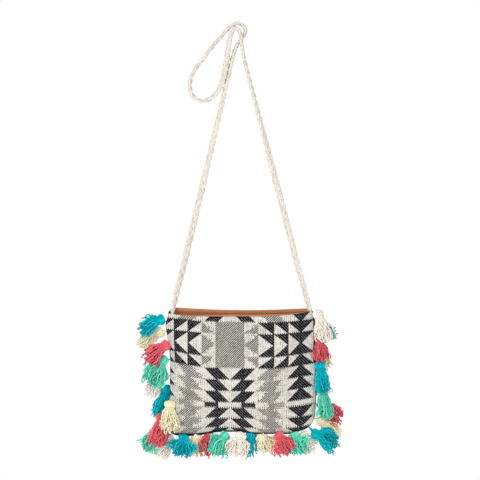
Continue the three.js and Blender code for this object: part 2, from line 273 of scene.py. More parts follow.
# How each tassel hangs against its imported solid, from the top of the left side round: millimetres
# to the right and up, degrees to the right, share of its length, and width of its skirt's end
TASSEL_HANGS = [
    (-8, -3, -14, 1.03, 34), (-8, -2, 0, 1.1, 26), (4, -1, -4, 1.07, 34),
    (1, -3, 0, 1.3, 54), (0, -8, 10, 1.12, 28), (6, -10, 11, 1.45, 34),
    (13, -12, -5, 1.22, 38), (-2, -14, 0, 1.28, 36), (-6, -15, 3, 1.12, 38),
    (-6, -5, 0, 1.0, 34), (-9, 0, 40, 0.86, 64), (-6, -1, 0, 0.94, 36),
    (-6, 1, -4, 0.95, 52), (-2, 2, 6, 0.93, 50), (4, 2, -10, 0.95, 48),
    (0, 0, 0, 0.98, 28), (-4, 1, 15, 0.88, 44), (1, 1, 22, 0.88, 46),
    (6, 1, 13, 0.86, 48), (2, 1, 0, 0.88, 36), (-5, -7, 20, 1.1, 46),
    (2, -10, 2, 1.1, 34), (4, -3, -2, 1.18, 40), (4, -3, -2, 1.22, 34),
    (0, 0, 0, 1.0, 30), (0, -2, -2, 1.22, 28), (-1, 0, 0, 1.0, 30),
    (1, 0, -4, 1.05, 28), (0, -2, 8, 0.94, 18), (2, -3, 2, 1.3, 30),
]
# Millimetres to the back of the tassels that would cut into the cloth, or to the front below zero
TASSEL_DEPTHS = {3: -4, 5: 3, 6: 5, 7: -8, 17: 3, 18: -5, 19: -1, 25: 3, 26: -3, 27: 3, 28: -2}
FRONT_TASSEL = 7  # this one hangs in front of the cloth
FRONT_LEAN = 0.5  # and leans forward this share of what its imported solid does
SPARSE_TASSEL = 16  # this one has lost yarns
SPARSE_SHARE = 0.4
LENGTH_SHARE = 0.89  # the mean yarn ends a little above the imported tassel's end
NECK_PLACE = 0.27  # where the binding sits, as a share of the tassel's length
NECK_SHARE = 0.68  # neck width as a share of the head's
TASSEL_FLATNESS = 0.58
TASSEL_SAG = 8 * MM  # a level tassel's end hangs this far down
HOLD_PLACE = 0.4  # the head is held to the tape this share of its width below the crown
SEED_STEP = 31  # from one tassel's seed to the next
TASSEL_PLY = 3 * MM
TASSEL_PATCHES = 160
YARN_POINTS = 19
YARN_SIDES = 5
RIM_POWER = 0.42  # the yarns lie closer towards the outside
YARN_LENGTHS = (0.86, 1.05)  # shares of the tassel's length
YARN_FANS = (0.6, 1.12)  # shares of the skirt's spread
YARN_TONES = (0.1, 1.05)
FLARE_POWER = 2.4  # the skirt opens soon below the neck
HEM_CURL = 0.16  # and draws in this much at its end
HEM_ROUNDNESS = 0.85
SKIRT_DEPTH = 0.6
# Width of the head down the tassel's length
HEAD_SHAPE = [
    (0, 0.15), (0.03, 0.68), (0.08, 0.96), (0.14, 1), (0.2, 0.93),
    (NECK_PLACE, NECK_SHARE), (1, NECK_SHARE),
]
BUNDLE_STRAY = 3.0  # how far neighbouring yarns stray together, and each yarn alone
YARN_CRIMP = 1.7
BUNDLE_NOISE = (2.2, 1.3)  # scales of the straying, from yarn to yarn and along the yarns
YARN_NOISE = (5.31, 7.5)
SEED_SHIFT = 1.7
BINDING_TURNS = 4.0
BINDING_STEPS = 12
BINDING_RISE = 0.03  # its first turn lies this share of the length above the neck
BINDING_WIDTH = 5  # in radii of the yarn
BINDING_TONE = 0.35
BINDING_YARN = 0.8  # the binding's yarn and the holding stitches' against the tassel's
HOLD_STITCHES = 5
HOLD_POINTS = 7
HOLD_DROP = 0.14  # they enter the head this share of the length below the crown
HOLD_SPREAD = 1.7  # distance of two stitches and their arch, in radii of the yarn
HOLD_ARCH = 2.4
HOLD_LENGTH = 12 * MM
HOLD_TONE = 0.5
GOLDEN_TURN = math.pi * (3 - math.sqrt(5))


def srgb(red, green, blue):
    """Linear colour of an sRGB colour that is given from 0 to 255."""

    def linear(channel):
        share = channel / 255
        return share / 12.92 if share <= 0.04045 else ((share + 0.055) / 1.055) ** 2.4

    return tuple(linear(channel) for channel in (red, green, blue))


def length_setting(name, description, default):
    """A size that a user may change, in metres."""
    return FloatProperty(name=name, description=description, default=default, min=0, unit="LENGTH")


def colour_setting(name, description, default):
    """A colour that a user may change."""
    return FloatVectorProperty(
        name=name, description=description, default=default, size=3, min=0, max=1, subtype="COLOR"
    )


class BagSizes(bpy.types.PropertyGroup):
    """Sizes of the bag's fibres and trimmings."""

    braid_width: length_setting("Braid width", "Width of the flat braided strap", 11.4 * MM)
    braid_thickness: length_setting("Braid thickness", "Thickness of the strap", 6.8 * MM)
    braid_period: length_setting(
        "Braid period", "Length over which a strand crosses over and back", 40 * MM
    )
    strand_yarns: IntProperty(
        name="Strand yarns", description="Yarns in each of the braid's three strands", default=6, min=3
    )
    braid_yarn: length_setting("Braid yarn", "Radius of a yarn in the strap", 1.2 * MM)
    head_width: length_setting("Head width", "Width of a tassel's head", 18.5 * MM)
    tassel_yarn: length_setting("Tassel yarn", "Radius of a yarn in a tassel", 1.1 * MM)
    tassel_strands: IntProperty(
        name="Tassel strands", description="Yarns in each tassel", default=66, min=12
    )
    yarn_wave: length_setting("Yarn wave", "How far a tassel's yarns stray", 6 * MM)
    wrinkle: length_setting("Wrinkle", "Height of the soft unevenness of the panels", 1.1 * MM)


class BagColours(bpy.types.PropertyGroup):
    """Colours of the bag's materials."""

    charcoal: colour_setting("Charcoal", "Dark yarn of the weave", srgb(13, 13, 16))
    cloth_cream: colour_setting("Cloth cream", "Pale yarn of the weave", srgb(229, 225, 216))
    facing_tan: colour_setting("Facing tan", "Strips inside the mouth", srgb(198, 131, 91))
    lining_tan: colour_setting("Lining tan", "Cloth inside the pouch", srgb(192, 128, 88))
    tape_black: colour_setting("Tape black", "Tape in the seams", srgb(30, 30, 33))
    strap_cream: colour_setting("Strap cream", "Undyed cotton of the strap", srgb(225, 217, 207))
    turquoise: colour_setting("Turquoise", "Tassel yarn", srgb(0, 212, 228))
    straw: colour_setting("Straw", "Tassel yarn", srgb(255, 246, 208))
    coral: colour_setting("Coral", "Tassel yarn", srgb(252, 113, 124))
    mint: colour_setting("Mint", "Tassel yarn", srgb(119, 248, 214))
    cream: colour_setting("Cream", "Tassel yarn", srgb(250, 240, 229))


# Node trees


class Value:
    """A node's output in Python arithmetic. Each operator adds one Math node."""

    def __init__(self, nodes, socket):
        self.nodes = nodes
        self.socket = socket

    def out(self, name):
        """Another output of the same node."""
        return Value(self.nodes, self.socket.node.outputs[name])

    def math(self, operation, *others):
        """A Math node whose first value is this one."""
        return self.nodes.add("ShaderNodeMath", {"operation": operation}, [self, *others])

    def reflected(self, operation, other):
        """A Math node whose second value is this one."""
        return self.nodes.add("ShaderNodeMath", {"operation": operation}, [other, self])

    def __add__(self, other):
        return self.math("ADD", other)

    def __radd__(self, other):
        return self.reflected("ADD", other)

    def __sub__(self, other):
        return self.math("SUBTRACT", other)

    def __rsub__(self, other):
        return self.reflected("SUBTRACT", other)

    def __mul__(self, other):
        return self.math("MULTIPLY", other)

    def __rmul__(self, other):
        return self.reflected("MULTIPLY", other)

    def __truediv__(self, other):
        return self.math("DIVIDE", other)

    def __rtruediv__(self, other):
        return self.reflected("DIVIDE", other)

    def __pow__(self, other):
        return self.math("POWER", other)

    def __mod__(self, other):
        return self.math("FLOORED_MODULO", other)

    def __abs__(self):
        return self.math("ABSOLUTE")

    def __lt__(self, other):
        return self.math("LESS_THAN", other)

    def __gt__(self, other):
        return self.math("GREATER_THAN", other)

    def fraction(self):
        """What is left above the next lower whole number."""
        return self.math("FRACT")

    def floor(self):
        """The next lower whole number."""
        return self.math("FLOOR")

    def between(self, low, high):
        """1 where this value lies from low to high, else 0."""
        return (self > low) * (self < high)


class Nodes:
    """A node tree that is filled by method calls."""

    def __init__(self, tree):
        self.tree = tree

    def add(self, kind, settings=None, inputs=(), output=0):
        """Adds a node with its settings first, then the values or links of its sockets."""
        node = self.tree.nodes.new(kind)
        for key, value in (settings or {}).items():
            if key == "curve":
                self.set_curve(node.mapping, value)
            else:
                setattr(node, key, value)
        pairs = inputs.items() if isinstance(inputs, dict) else enumerate(inputs)
        for key, value in pairs:
            if isinstance(value, Value):
                self.tree.links.new(value.socket, node.inputs[key])
            else:
                node.inputs[key].default_value = value
        return Value(self, node.outputs[output])

    @staticmethod
    def set_curve(mapping, points):
        """Sets the points of a Float Curve node."""
        curve = mapping.curves[0].points
        while len(curve) < len(points):
            curve.new(0.5, 0.5)
        for point, place in zip(curve, points):
            point.location = place
        mapping.update()

    def mix(self, factor, first, second):
        """Colour between two colours."""
        colours = [(*c, 1) if isinstance(c, tuple) else c for c in (first, second)]
        settings = {"data_type": "RGBA"}
        return self.add("ShaderNodeMix", settings, {0: factor, 6: colours[0], 7: colours[1]}, output=2)

    def vector(self, operation, first, second):
        """Vector Math on two vectors."""
        return self.add("ShaderNodeVectorMath", {"operation": operation}, [first, second])

    def sum(self, *vectors):
        """Sum of several vectors."""
        total = vectors[0]
        for vector in vectors[1:]:
            total = self.vector("ADD", total, vector)
        return total

    def scaled(self, vector, number):
        """A vector times a number."""
        return self.add("ShaderNodeVectorMath", {"operation": "SCALE"}, {0: vector, 3: number})

    def attribute(self, name, kind="FLOAT"):
        """A named attribute of the geometry that the tree works on."""
        return self.add("GeometryNodeInputNamedAttribute", {"data_type": kind}, [name])

    def store(self, geometry, name, value):
        """Geometry that carries a named number at each point."""
        sockets = {"Geometry": geometry, "Name": name, "Value": value}
        settings = {"data_type": "FLOAT", "domain": "POINT"}
        return self.add("GeometryNodeStoreNamedAttribute", settings, sockets)

    def random(self, low, high, number, seed):
        """A fixed random number for each numbered element."""
        sockets = {2: low, 3: high, 7: number, 8: seed}
        return self.add("FunctionNodeRandomValue", {"data_type": "FLOAT"}, sockets, output=1)

    def yarn_tube(self, curve, radius, sides):
        """Round yarn along each curve, which knows where it is around the yarn."""
        ring = self.add("GeometryNodeCurvePrimitiveCircle", None, {"Resolution": sides, "Radius": radius})
        around = self.add("GeometryNodeSplineParameter")
        ring = self.store(ring, "around", around)
        return self.add("GeometryNodeCurveToMesh", None, {0: curve, 1: ring, "Fill Caps": True})

    def finish(self, parts, material):
        """Joins what the tree made, and ends the tree."""
        join = self.tree.nodes.new("GeometryNodeJoinGeometry")
        for part in reversed(parts):
            self.tree.links.new(part.socket, join.inputs[0])
        smooth = self.add("GeometryNodeSetShadeSmooth", None, [Value(self, join.outputs[0])])
        realized = self.add("GeometryNodeRealizeInstances", None, [smooth])
        finished = self.add("GeometryNodeSetMaterial", None, {"Geometry": realized, "Material": material})
        end = self.tree.nodes.new("NodeGroupOutput")
        self.tree.links.new(finished.socket, end.inputs[0])


FLOAT = "NodeSocketFloat"
INT = "NodeSocketInt"
VECTOR = "NodeSocketVector"
MATERIAL = "NodeSocketMaterial"
GEOMETRY = "NodeSocketGeometry"


def geometry_tree(name, **inputs):
    """A Geometry Nodes tree with named inputs, and its inputs as values."""
    tree = bpy.data.node_groups.new(name, "GeometryNodeTree")
    tree.interface.new_socket("Geometry", in_out="OUTPUT", socket_type=GEOMETRY)
    for label, kind in inputs.items():
        tree.interface.new_socket(label, in_out="INPUT", socket_type=kind)
    nodes = Nodes(tree)
    start = tree.nodes.new("NodeGroupInput")
    return nodes, SimpleNamespace(**{label: Value(nodes, start.outputs[label]) for label in inputs})


def grown(name, tree, values, source=None):
    """Object with the plain mesh that a tree makes of its inputs."""
    piece = bpy.data.objects.new(name, source or bpy.data.meshes.new(name))
    bpy.context.scene.collection.objects.link(piece)
    modifier = piece.modifiers.new(name, "NODES")
    modifier.node_group = tree
    for item in tree.interface.items_tree:
        if item.in_out == "INPUT" and item.name in values:
            modifier[item.identifier] = values[item.name]
    evaluated = piece.evaluated_get(bpy.context.evaluated_depsgraph_get())
    mesh = bpy.data.meshes.new_from_object(evaluated)
    piece.modifiers.clear()
    piece.data = mesh
    mesh.name = name
    return piece


def object_of(name, vertices, faces, material, uv=None):
    """Smooth closed mesh object with its faces outwards and, where given, a UV for each vertex."""
    mesh = bpy.data.meshes.new(name)
    mesh.from_pydata([tuple(v) for v in vertices], [], [tuple(f) for f in faces])
    if uv is not None:
        layer = mesh.uv_layers.new(name="cloth")
        corners = np.empty(len(mesh.loops), dtype=np.int32)
        mesh.loops.foreach_get("vertex_index", corners)
        layer.data.foreach_set("uv", np.asarray(uv, dtype=np.float32)[corners].ravel())
    shell = bmesh.new()
    shell.from_mesh(mesh)
    bmesh.ops.recalc_face_normals(shell, faces=shell.faces)
    shell.to_mesh(mesh)
    shell.free()
    mesh.shade_smooth()
    mesh.materials.append(material)
    piece = bpy.data.objects.new(name, mesh)
    bpy.context.scene.collection.objects.link(piece)
    return piece


def line_mesh(name, points):
    """Mesh of the edges from each point to the next."""
    mesh = bpy.data.meshes.new(name)
    mesh.from_pydata([tuple(p) for p in points], [(i, i + 1) for i in range(len(points) - 1)], [])
    return mesh


def store_points(mesh, name, values):
    """Keeps a number or a vector for each point of a mesh."""
    kind, field = ("FLOAT", "value") if values.ndim == 1 else ("FLOAT_VECTOR", "vector")
    layer = mesh.attributes.new(name, kind, "POINT")
    layer.data.foreach_set(field, values.astype(np.float32).ravel())


def seat(piece, slot, *nodes):
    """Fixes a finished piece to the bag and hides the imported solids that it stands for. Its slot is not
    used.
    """
    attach(piece, BODY)
    if nodes:
        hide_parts(*nodes)


# Materials


def new_material(name, **constants):
    """A material, its nodes and its shader, with the shader's constant values."""
    material = bpy.data.materials.new(name)
    material.use_nodes = True
    surface = next(n for n in material.node_tree.nodes if n.type == "BSDF_PRINCIPLED")
    for label, value in constants.items():
        surface.inputs[label.replace("_", " ")].default_value = value
    return material, Nodes(material.node_tree), surface


def fibre_material(name, roughness=0.92, sheen=0.04):
    """A matt cloth or yarn material, its nodes and its shader."""
    return new_material(
        name, Roughness=roughness, Specular_IOR_Level=0.05, Sheen_Weight=sheen, Sheen_Roughness=0.5
    )


def finish_surface(nodes, surface, colour, height, depth):
    """Colour and relief of a material. The relief's height runs from 0 to 1, over a depth in metres."""
    bump = nodes.add("ShaderNodeBump", None, {"Strength": 1.0, "Distance": depth, "Height": height})
    nodes.tree.links.new(colour.socket, surface.inputs["Base Color"])
    nodes.tree.links.new(bump.socket, surface.inputs["Normal"])


def darker(colour, share):
    """A colour with less light in it."""
    return tuple(channel * share for channel in colour)


def object_noise(nodes, scale, detail=2.0):
    """Noise over the object's own coordinates."""
    place = nodes.add("ShaderNodeTexCoord").out("Object")
    return nodes.add("ShaderNodeTexNoise", None, {"Vector": place, "Scale": scale, "Detail": detail})


def wave(value):
    """A wave from 0 to 1 with one crest for each whole number."""
    return (value * math.tau).math("SINE") * 0.5 + 0.5


def cloth_millimetres(nodes):
    """Place on the cloth, in millimetres across and down."""
    place = nodes.add("ShaderNodeUVMap", {"uv_map": "cloth"})
    split = nodes.add("ShaderNodeSeparateXYZ", None, [place])
    return split * (1 / MM), split.out("Y") * (1 / MM)


def cell_chance(nodes, column, row):
    """A fixed random number from 0 to 1 for each cell of the cloth."""
    cell = nodes.add("ShaderNodeCombineXYZ", None, [column, row])
    return nodes.add("ShaderNodeTexWhiteNoise", {"noise_dimensions": "2D"}, {"Vector": cell})


def weave_masks(across, down, tooth, ragged):
    """Where the weave is black and where it is grey, from the rule of its geometric pattern.

    The tooth moves the level edges of the pattern, and leaves its slanting edges alone. The edges
    between grey and cream are ragged.
    """
    upper_height = UPPER_ROWS * UPPER_ROW
    lower_height = 2 * (BAR_HALF + LOWER_ROWS * LOWER_ROW)
    height = upper_height + lower_height
    fold = across.math("PINGPONG", COLUMNS * COLUMN)
    toothed = (down + tooth) % height
    row = toothed - tooth

    # Upper block: a grey middle, steps beside it, and rows of black triangles
    column_share = (fold / COLUMN).fraction()
    row_share = abs(row - upper_height / 2) / UPPER_ROW
    row_share = row_share - (abs(toothed - upper_height / 2) / UPPER_ROW).floor()
    middle = fold < COLUMN
    inner = fold < 2 * COLUMN
    upper_grey = middle + (inner - middle) * (row_share < column_share + ragged / COLUMN)
    upper_black = (1 - inner) * (row_share > TRIANGLE_EDGE - column_share)

    # Lower block: slanting bands that start again in each row, mirrored about a bar
    centre = upper_height + lower_height / 2
    from_bar = abs(toothed - centre) - BAR_HALF
    outside_bar = from_bar > 0
    share = (abs(row - centre) - BAR_HALF) / LOWER_ROW - (from_bar / LOWER_ROW).floor()
    step = (share * outside_bar + (1 - outside_bar)) * COLUMN
    point = outside_bar * (COLUMNS * COLUMN - fold < (COLUMN - step) * POINT_SLANT + POINT_WIDTH * COLUMN)
    lower_black = (fold - step * BAND_SLANT).between(0.0, BAND_WIDTH * COLUMN).math("MAXIMUM", point)
    loose = fold + ragged
    grey_start = step * BAND_SLANT + GREY_BAND[0] * COLUMN
    grey_end = step * GREY_END_SLANT + GREY_BAND[1] * COLUMN
    lower_grey = (loose > grey_start) * (loose < grey_end) * (1 - point)

    is_upper = toothed < upper_height
    black = is_upper * upper_black + (1 - is_upper) * lower_black
    grey = is_upper * upper_grey + (1 - is_upper) * lower_grey
    return black, grey


def woven_cloth(colours):
    """Thick cotton with its pattern woven in: ribs where it is pale, twill where it is grey."""
    material, nodes, surface = fibre_material("woven_cloth", sheen=0.02)
    across, down = cloth_millimetres(nodes)
    column = (across / CELL_WIDTH).floor()
    odd = column % 2
    pick = down / (2 * CELL_HEIGHT) + odd * 0.5
    chance = cell_chance(nodes, column, pick.floor())
    speck = cell_chance(nodes, column, (down / CELL_HEIGHT).floor())
    fine_across = ((across / FINE_CELL).floor() + 0.5) * FINE_CELL
    fine_down = ((down / FINE_CELL).floor() + 0.5) * FINE_CELL
    black, grey = weave_masks(fine_across, fine_down, (odd - 0.5) * TOOTH, (chance - 0.5) * RAGGED)

    fuzz = object_noise(nodes, CLOTH_FUZZ)
    worn = object_noise(nodes, CLOTH_WEAR)
    patches = object_noise(nodes, CLOTH_PATCHES)
    twill = wave((across + down) / TWILL_PITCH)
    flecks = wave((across - down) / FLECK_PITCH)
    ribs = wave(across / (2 * CELL_WIDTH))
    picks = wave(pick)

    cream = tuple(colours.cloth_cream)
    charcoal = tuple(colours.charcoal)
    # Painted shade in the gaps between the pale picks and in the grooves between the ribs
    gaps = (1 - ribs) * (1 - picks) * chance ** 2 * GAP_TONE + (1 - ribs) * GROOVE_TONE
    dark_fuzz = (fuzz - FUZZ_START).math("MAXIMUM", 0.0) * FUZZ_TONE
    pale = nodes.mix(gaps + dark_fuzz, cream, darker(cream, GAP_SHADE))
    pale = nodes.mix(speck * SPECK_TONE, pale, darker(cream, SPECK_SHADE))
    lint = flecks ** FLECK_SHARPNESS * (worn * LINT_WEAR[1] + LINT_WEAR[0]) * (speck * LINT_SPECK)
    dark = nodes.mix(lint, charcoal, FLECK_TONE)
    line = twill * twill * (3 - 2 * twill)
    cream_share = line * TWILL_SHARE * (worn * TWILL_WEAR[1] + TWILL_WEAR[0])
    cream_share = cream_share * (speck * TWILL_SPECK[1] + TWILL_SPECK[0])
    mixed = nodes.mix(cream_share, charcoal, cream)
    colour = nodes.mix(black, nodes.mix(grey, pale, mixed), dark)
    # Broad darker patches from random noise
    dark_patches = (patches - PATCH_START).math("MAXIMUM", 0.0) * PATCH_TONE
    colour = nodes.mix(dark_patches, colour, darker(charcoal, PATCH_SHADE))

    rib_share, pick_share, twill_share = RELIEF_SHARES
    height = ribs * rib_share + picks * pick_share + twill * twill_share
    finish_surface(nodes, surface, colour, height, CLOTH_RELIEF)
    return material


def surface_attribute(nodes, name):
    """A number that the piece's mesh carries at each point."""
    return nodes.add("ShaderNodeAttribute", {"attribute_name": name}).out("Fac")


def tan_strip(name, tan, rib):
    """Tan cotton strip: fine cross ribs with painted shade in their grooves, soft patches, and painted
    shade inside the mouth.
    """
    material, nodes, surface = fibre_material(name, roughness=0.72, sheen=0.06)
    across, down = cloth_millimetres(nodes)
    ribs = wave(across / rib) * 0.6 + wave(down / rib) * 0.4
    patches = object_noise(nodes, TAN_PATCHES)
    grain = object_noise(nodes, TAN_GRAIN)
    patch, groove_shade, inside = (darker(tan, share) for share in TAN_TONES_AND_SHADES)
    colour = nodes.mix(patches, patch, tan)
    # Painted shade in the grooves between the ribs, with the grain's random tone
    colour = nodes.mix((1 - ribs) * 0.3 + (grain - 0.5) * 0.4, colour, groove_shade)
    # Painted shade below the strip's edge and in the mouth's left corner
    colour = nodes.mix(surface_attribute(nodes, "shade"), colour, inside)
    finish_surface(nodes, surface, colour, ribs * 0.6 + grain * 0.4, TAN_RELIEF)
    return material


def black_tape(colours):
    """Narrow black tape with a fine rib, whose crests carry a painted highlight."""
    material, nodes, surface = fibre_material("black_tape")
    along, _ = cloth_millimetres(nodes)
    ribs = wave(along / TAPE_RIB)
    fuzz = object_noise(nodes, TAPE_FUZZ)
    # Painted highlight on the rib's crests, with random fuzz
    colour = nodes.mix(ribs * 0.4 + (fuzz - 0.5) * 0.3, tuple(colours.tape_black), TAPE_PALE)
    finish_surface(nodes, surface, colour, ribs, TAPE_RELIEF)
    return material


def yarn_material(name, colour, pitch, patches_scale, deep):
    """Plied yarn: slanting plies round each strand with painted shade in their grooves, and strands of
    different tone, with painted shade on a tassel's inner yarns.
    """
    material, nodes, surface = fibre_material(name)
    along, around, tone = (surface_attribute(nodes, label) for label in ("along", "around", "tone"))
    plies = wave(along / pitch + around * 2)
    fuzz = object_noise(nodes, YARN_FUZZ)
    patches = object_noise(nodes, patches_scale)
    # The tone mixes towards the darker colour: at random from yarn to yarn, and on a tassel's inner yarns
    # as painted shade
    base = nodes.mix(tone, darker(colour, deep), colour)
    # Painted shade in the grooves between the plies, with random fuzz and patches
    shade = (1 - plies) * PLY_TONE + (fuzz - 0.5) * FUZZ_SHARE + (patches - 0.5) * PATCH_SHARE
    shaded = nodes.mix(shade, base, darker(colour, 0.25 + 0.6 * deep))
    finish_surface(nodes, surface, shaded, plies, YARN_RELIEF)
    return material


def thread_material(name, colour):
    """Sewing thread, with painted shade in the hollows of its twist."""
    material, nodes, surface = fibre_material(name, roughness=0.6)
    twist = object_noise(nodes, THREAD_TWIST)
    # Painted shade where the twist's relief is low
    twisted = nodes.mix(twist, darker(colour, 0.6), colour)
    finish_surface(nodes, surface, twisted, twist, THREAD_RELIEF)
    return material


def floor_material():
    """Plain pale floor that goes over into the white background."""
    material, nodes, surface = new_material(
        "floor", Roughness=0.95, Specular_IOR_Level=0.0, Emission_Strength=1.0
    )
    grain = object_noise(nodes, 3)
    pale = nodes.mix(grain, (0.9, 0.9, 0.9), (0.94, 0.94, 0.94))
    place = nodes.add("ShaderNodeTexCoord").out("Object")
    split = nodes.add("ShaderNodeSeparateXYZ", None, [place])
    away = (split * split + split.out("Y") * split.out("Y")).math("SQRT")
    far = nodes.add("ShaderNodeMapRange", {"interpolation_type": "SMOOTHSTEP"}, [away, *FLOOR_FADE])
    colour = nodes.mix(far, pale, (0.0, 0.0, 0.0))
    glow = nodes.mix(far, FLOOR_GLOW, (1.0, 1.0, 1.0))
    nodes.tree.links.new(colour.socket, surface.inputs["Base Color"])
    nodes.tree.links.new(glow.socket, surface.inputs["Emission Color"])
    return material


# Shape of the pouch: x from the bag's middle, z up from its bottom seam


def smoothstep(low, high, value):
    """A soft step from 0 at low to 1 at high."""
    share = np.clip((value - low) / (high - low), 0, 1)
    return share * share * (3 - 2 * share)


def bell(value, place, reach):
    """A soft bell of height 1 about a place."""
    return np.exp(-(((value - place) / reach) ** 2))


def half_width(z):
    """Half the pouch's width at a height."""
    below = np.maximum(0, CORNER_RADIUS - z)
    reach = np.sqrt(np.maximum(0, CORNER_RADIUS**2 - below**2))
    above = np.maximum(0, z - PULL_START) / (BAG_HEIGHT - PULL_START)
    return BAG_WIDTH / 2 - CORNER_RADIUS + reach - MOUTH_PULL * above**2


def wall_depth(wall, x, z):
    """Distance of a wall's inner cloth face from the seam plane."""
    across = np.minimum(1, np.abs(x) / half_width(z))
    rise = np.clip(z / BOTTOM_RISE, 0, 1)
    across_share = (1 - across**SIDE_SQUARENESS) ** EDGE_ROUNDNESS
    up_share = (1 - (1 - rise) ** 2) ** EDGE_ROUNDNESS
    fade = smoothstep(FADE_START, BAG_HEIGHT, z)
    mouth_share = wall.mouth / wall.bulge
    return SEAM_DEPTH + wall.bulge * across_share * up_share * (1 - (1 - mouth_share) * fade)


def mouth_height(wall, x, show=0.0):
    """Height of the cloth's edge at the mouth, or of an edge that stands above it."""
    across = np.minimum(1, np.abs(x) / half_width(BAG_HEIGHT))
    lift = np.where(x < 0, *wall.corner_lift)
    power = np.where(x < 0, *wall.corner_power)
    return BAG_HEIGHT - wall.sag + (wall.sag + lift) * across**power + show * (1 - across**2)


def hung(x, z):
    """Place of a point of the cloth once it hangs.

    The bottom seam waves, the right bottom corner is drawn in, and the left side is drawn in and out.
    """
    raised = smoothstep(0, WAVE_FADE, z)
    humps = sum(height * bell(x, place, reach) for height, place, reach in BOTTOM_WAVES)
    swell = (1 - raised) * humps
    tuck, reach = CORNER_TUCK
    drawn = tuck * np.exp(-((x - BAG_WIDTH / 2) ** 2 + z**2) / reach**2)
    bulge, height, reach = LEFT_BULGE
    left = LEFT_DRAW * (1 - smoothstep(*LEFT_DRAW_HEIGHTS, z))
    left *= LEFT_DRAW_LOWEST + (1 - LEFT_DRAW_LOWEST) * raised
    left -= bulge * bell(z, height, reach)
    left *= bell(x, -BAG_WIDTH / 2, LEFT_REACH)
    return x - drawn + left, z + swell + drawn


def unevenness(wall, x, z):
    """Soft hand-woven unevenness of a wall, from -1 to 1: broad waves, and gathers near the seams."""

    def field(scales, seed):
        places = zip(np.ravel(x) * scales[0], np.ravel(z) * scales[1])
        return np.reshape([noise.noise(Vector((a, b, seed))) for a, b in places], x.shape)

    seams = np.exp(-np.minimum(z, half_width(z) - np.abs(x)) / GATHER_REACH)
    gathers = GATHER_SHARE * seams * field(SEAM_GATHERS, wall.seed + GATHER_SEED)
    return field(BROAD_WAVES, wall.seed) + gathers


def grid_faces(rows, columns, start):
    """Quads between rows and columns of points that are numbered from start."""
    return [
        (start + r * columns + c, start + r * columns + c + 1,
         start + (r + 1) * columns + c + 1, start + (r + 1) * columns + c)
        for r in range(rows - 1)
        for c in range(columns - 1)
    ]


def closed_sheet_faces(rows, columns):
    """Faces of two like grids of points and of the rim that joins them."""
    count = rows * columns
    outer = grid_faces(rows, columns, 0)
    inner = [face[::-1] for face in grid_faces(rows, columns, count)]
    bottom = list(range(columns))
    right = [r * columns + columns - 1 for r in range(1, rows)]
    top = [(rows - 1) * columns + c for c in range(columns - 2, -1, -1)]
    left = [r * columns for r in range(rows - 2, 0, -1)]
    loop = bottom + right + top + left
    following = loop[1:] + loop[:1]
    return outer + inner + [(b, a, a + count, b + count) for a, b in zip(loop, following)]


def arc_lengths(points, axis):
    """Length along the grid lines of one axis, from their start."""
    steps = np.linalg.norm(np.diff(points, axis=axis), axis=2)
    zero = np.zeros_like(np.take(steps, [0], axis=axis))
    return np.cumsum(np.concatenate([zero, steps], axis=axis), axis=axis)


def weave_place(wall, x, z, along, downward):
    """Places on the weave of a wall's points, from their lengths along the cloth, in metres."""
    tops = [np.interp(WEAVE_TOP, heights, lengths) for heights, lengths in zip(z.T, downward.T)]
    downward = downward - np.array(tops)
    seen = -wall.side * x
    upper_end = UPPER_ROWS * UPPER_ROW * MM
    rise = np.clip((np.abs(x) - RISE_START) / (BAG_WIDTH / 2 - RISE_START), 0, 1) ** RISE_POWER
    downward += rise * (ROW_RISE[0] + ROW_RISE[1] * smoothstep(0, upper_end, downward))
    downward -= ROW_SLANT * np.clip(seen, -RISE_START, RISE_START)
    drawn, place, reach = WEAVE_DRIFT
    drift = drawn * bell(seen, place, reach)
    drift *= 1 - smoothstep(upper_end - DRIFT_END, upper_end + DRIFT_END, downward)
    return np.stack([-wall.side * along - WEAVE_AXIS - drift, downward], axis=2).reshape(-1, 2)


def painted_mouth_shade(x, z, high, inset):
    """How much painted shade darkens a tan strip: below its edge, and in the left corner of the mouth."""
    below = high - z
    corner = smoothstep(CORNER_SHADE, 0, x + half_width(z) - inset)
    corner = corner * smoothstep(*CORNER_START, below)
    return LIP_SHADE_STRENGTH * smoothstep(*LIP_SHADE, below) + CORNER_SHADE_STRENGTH * corner


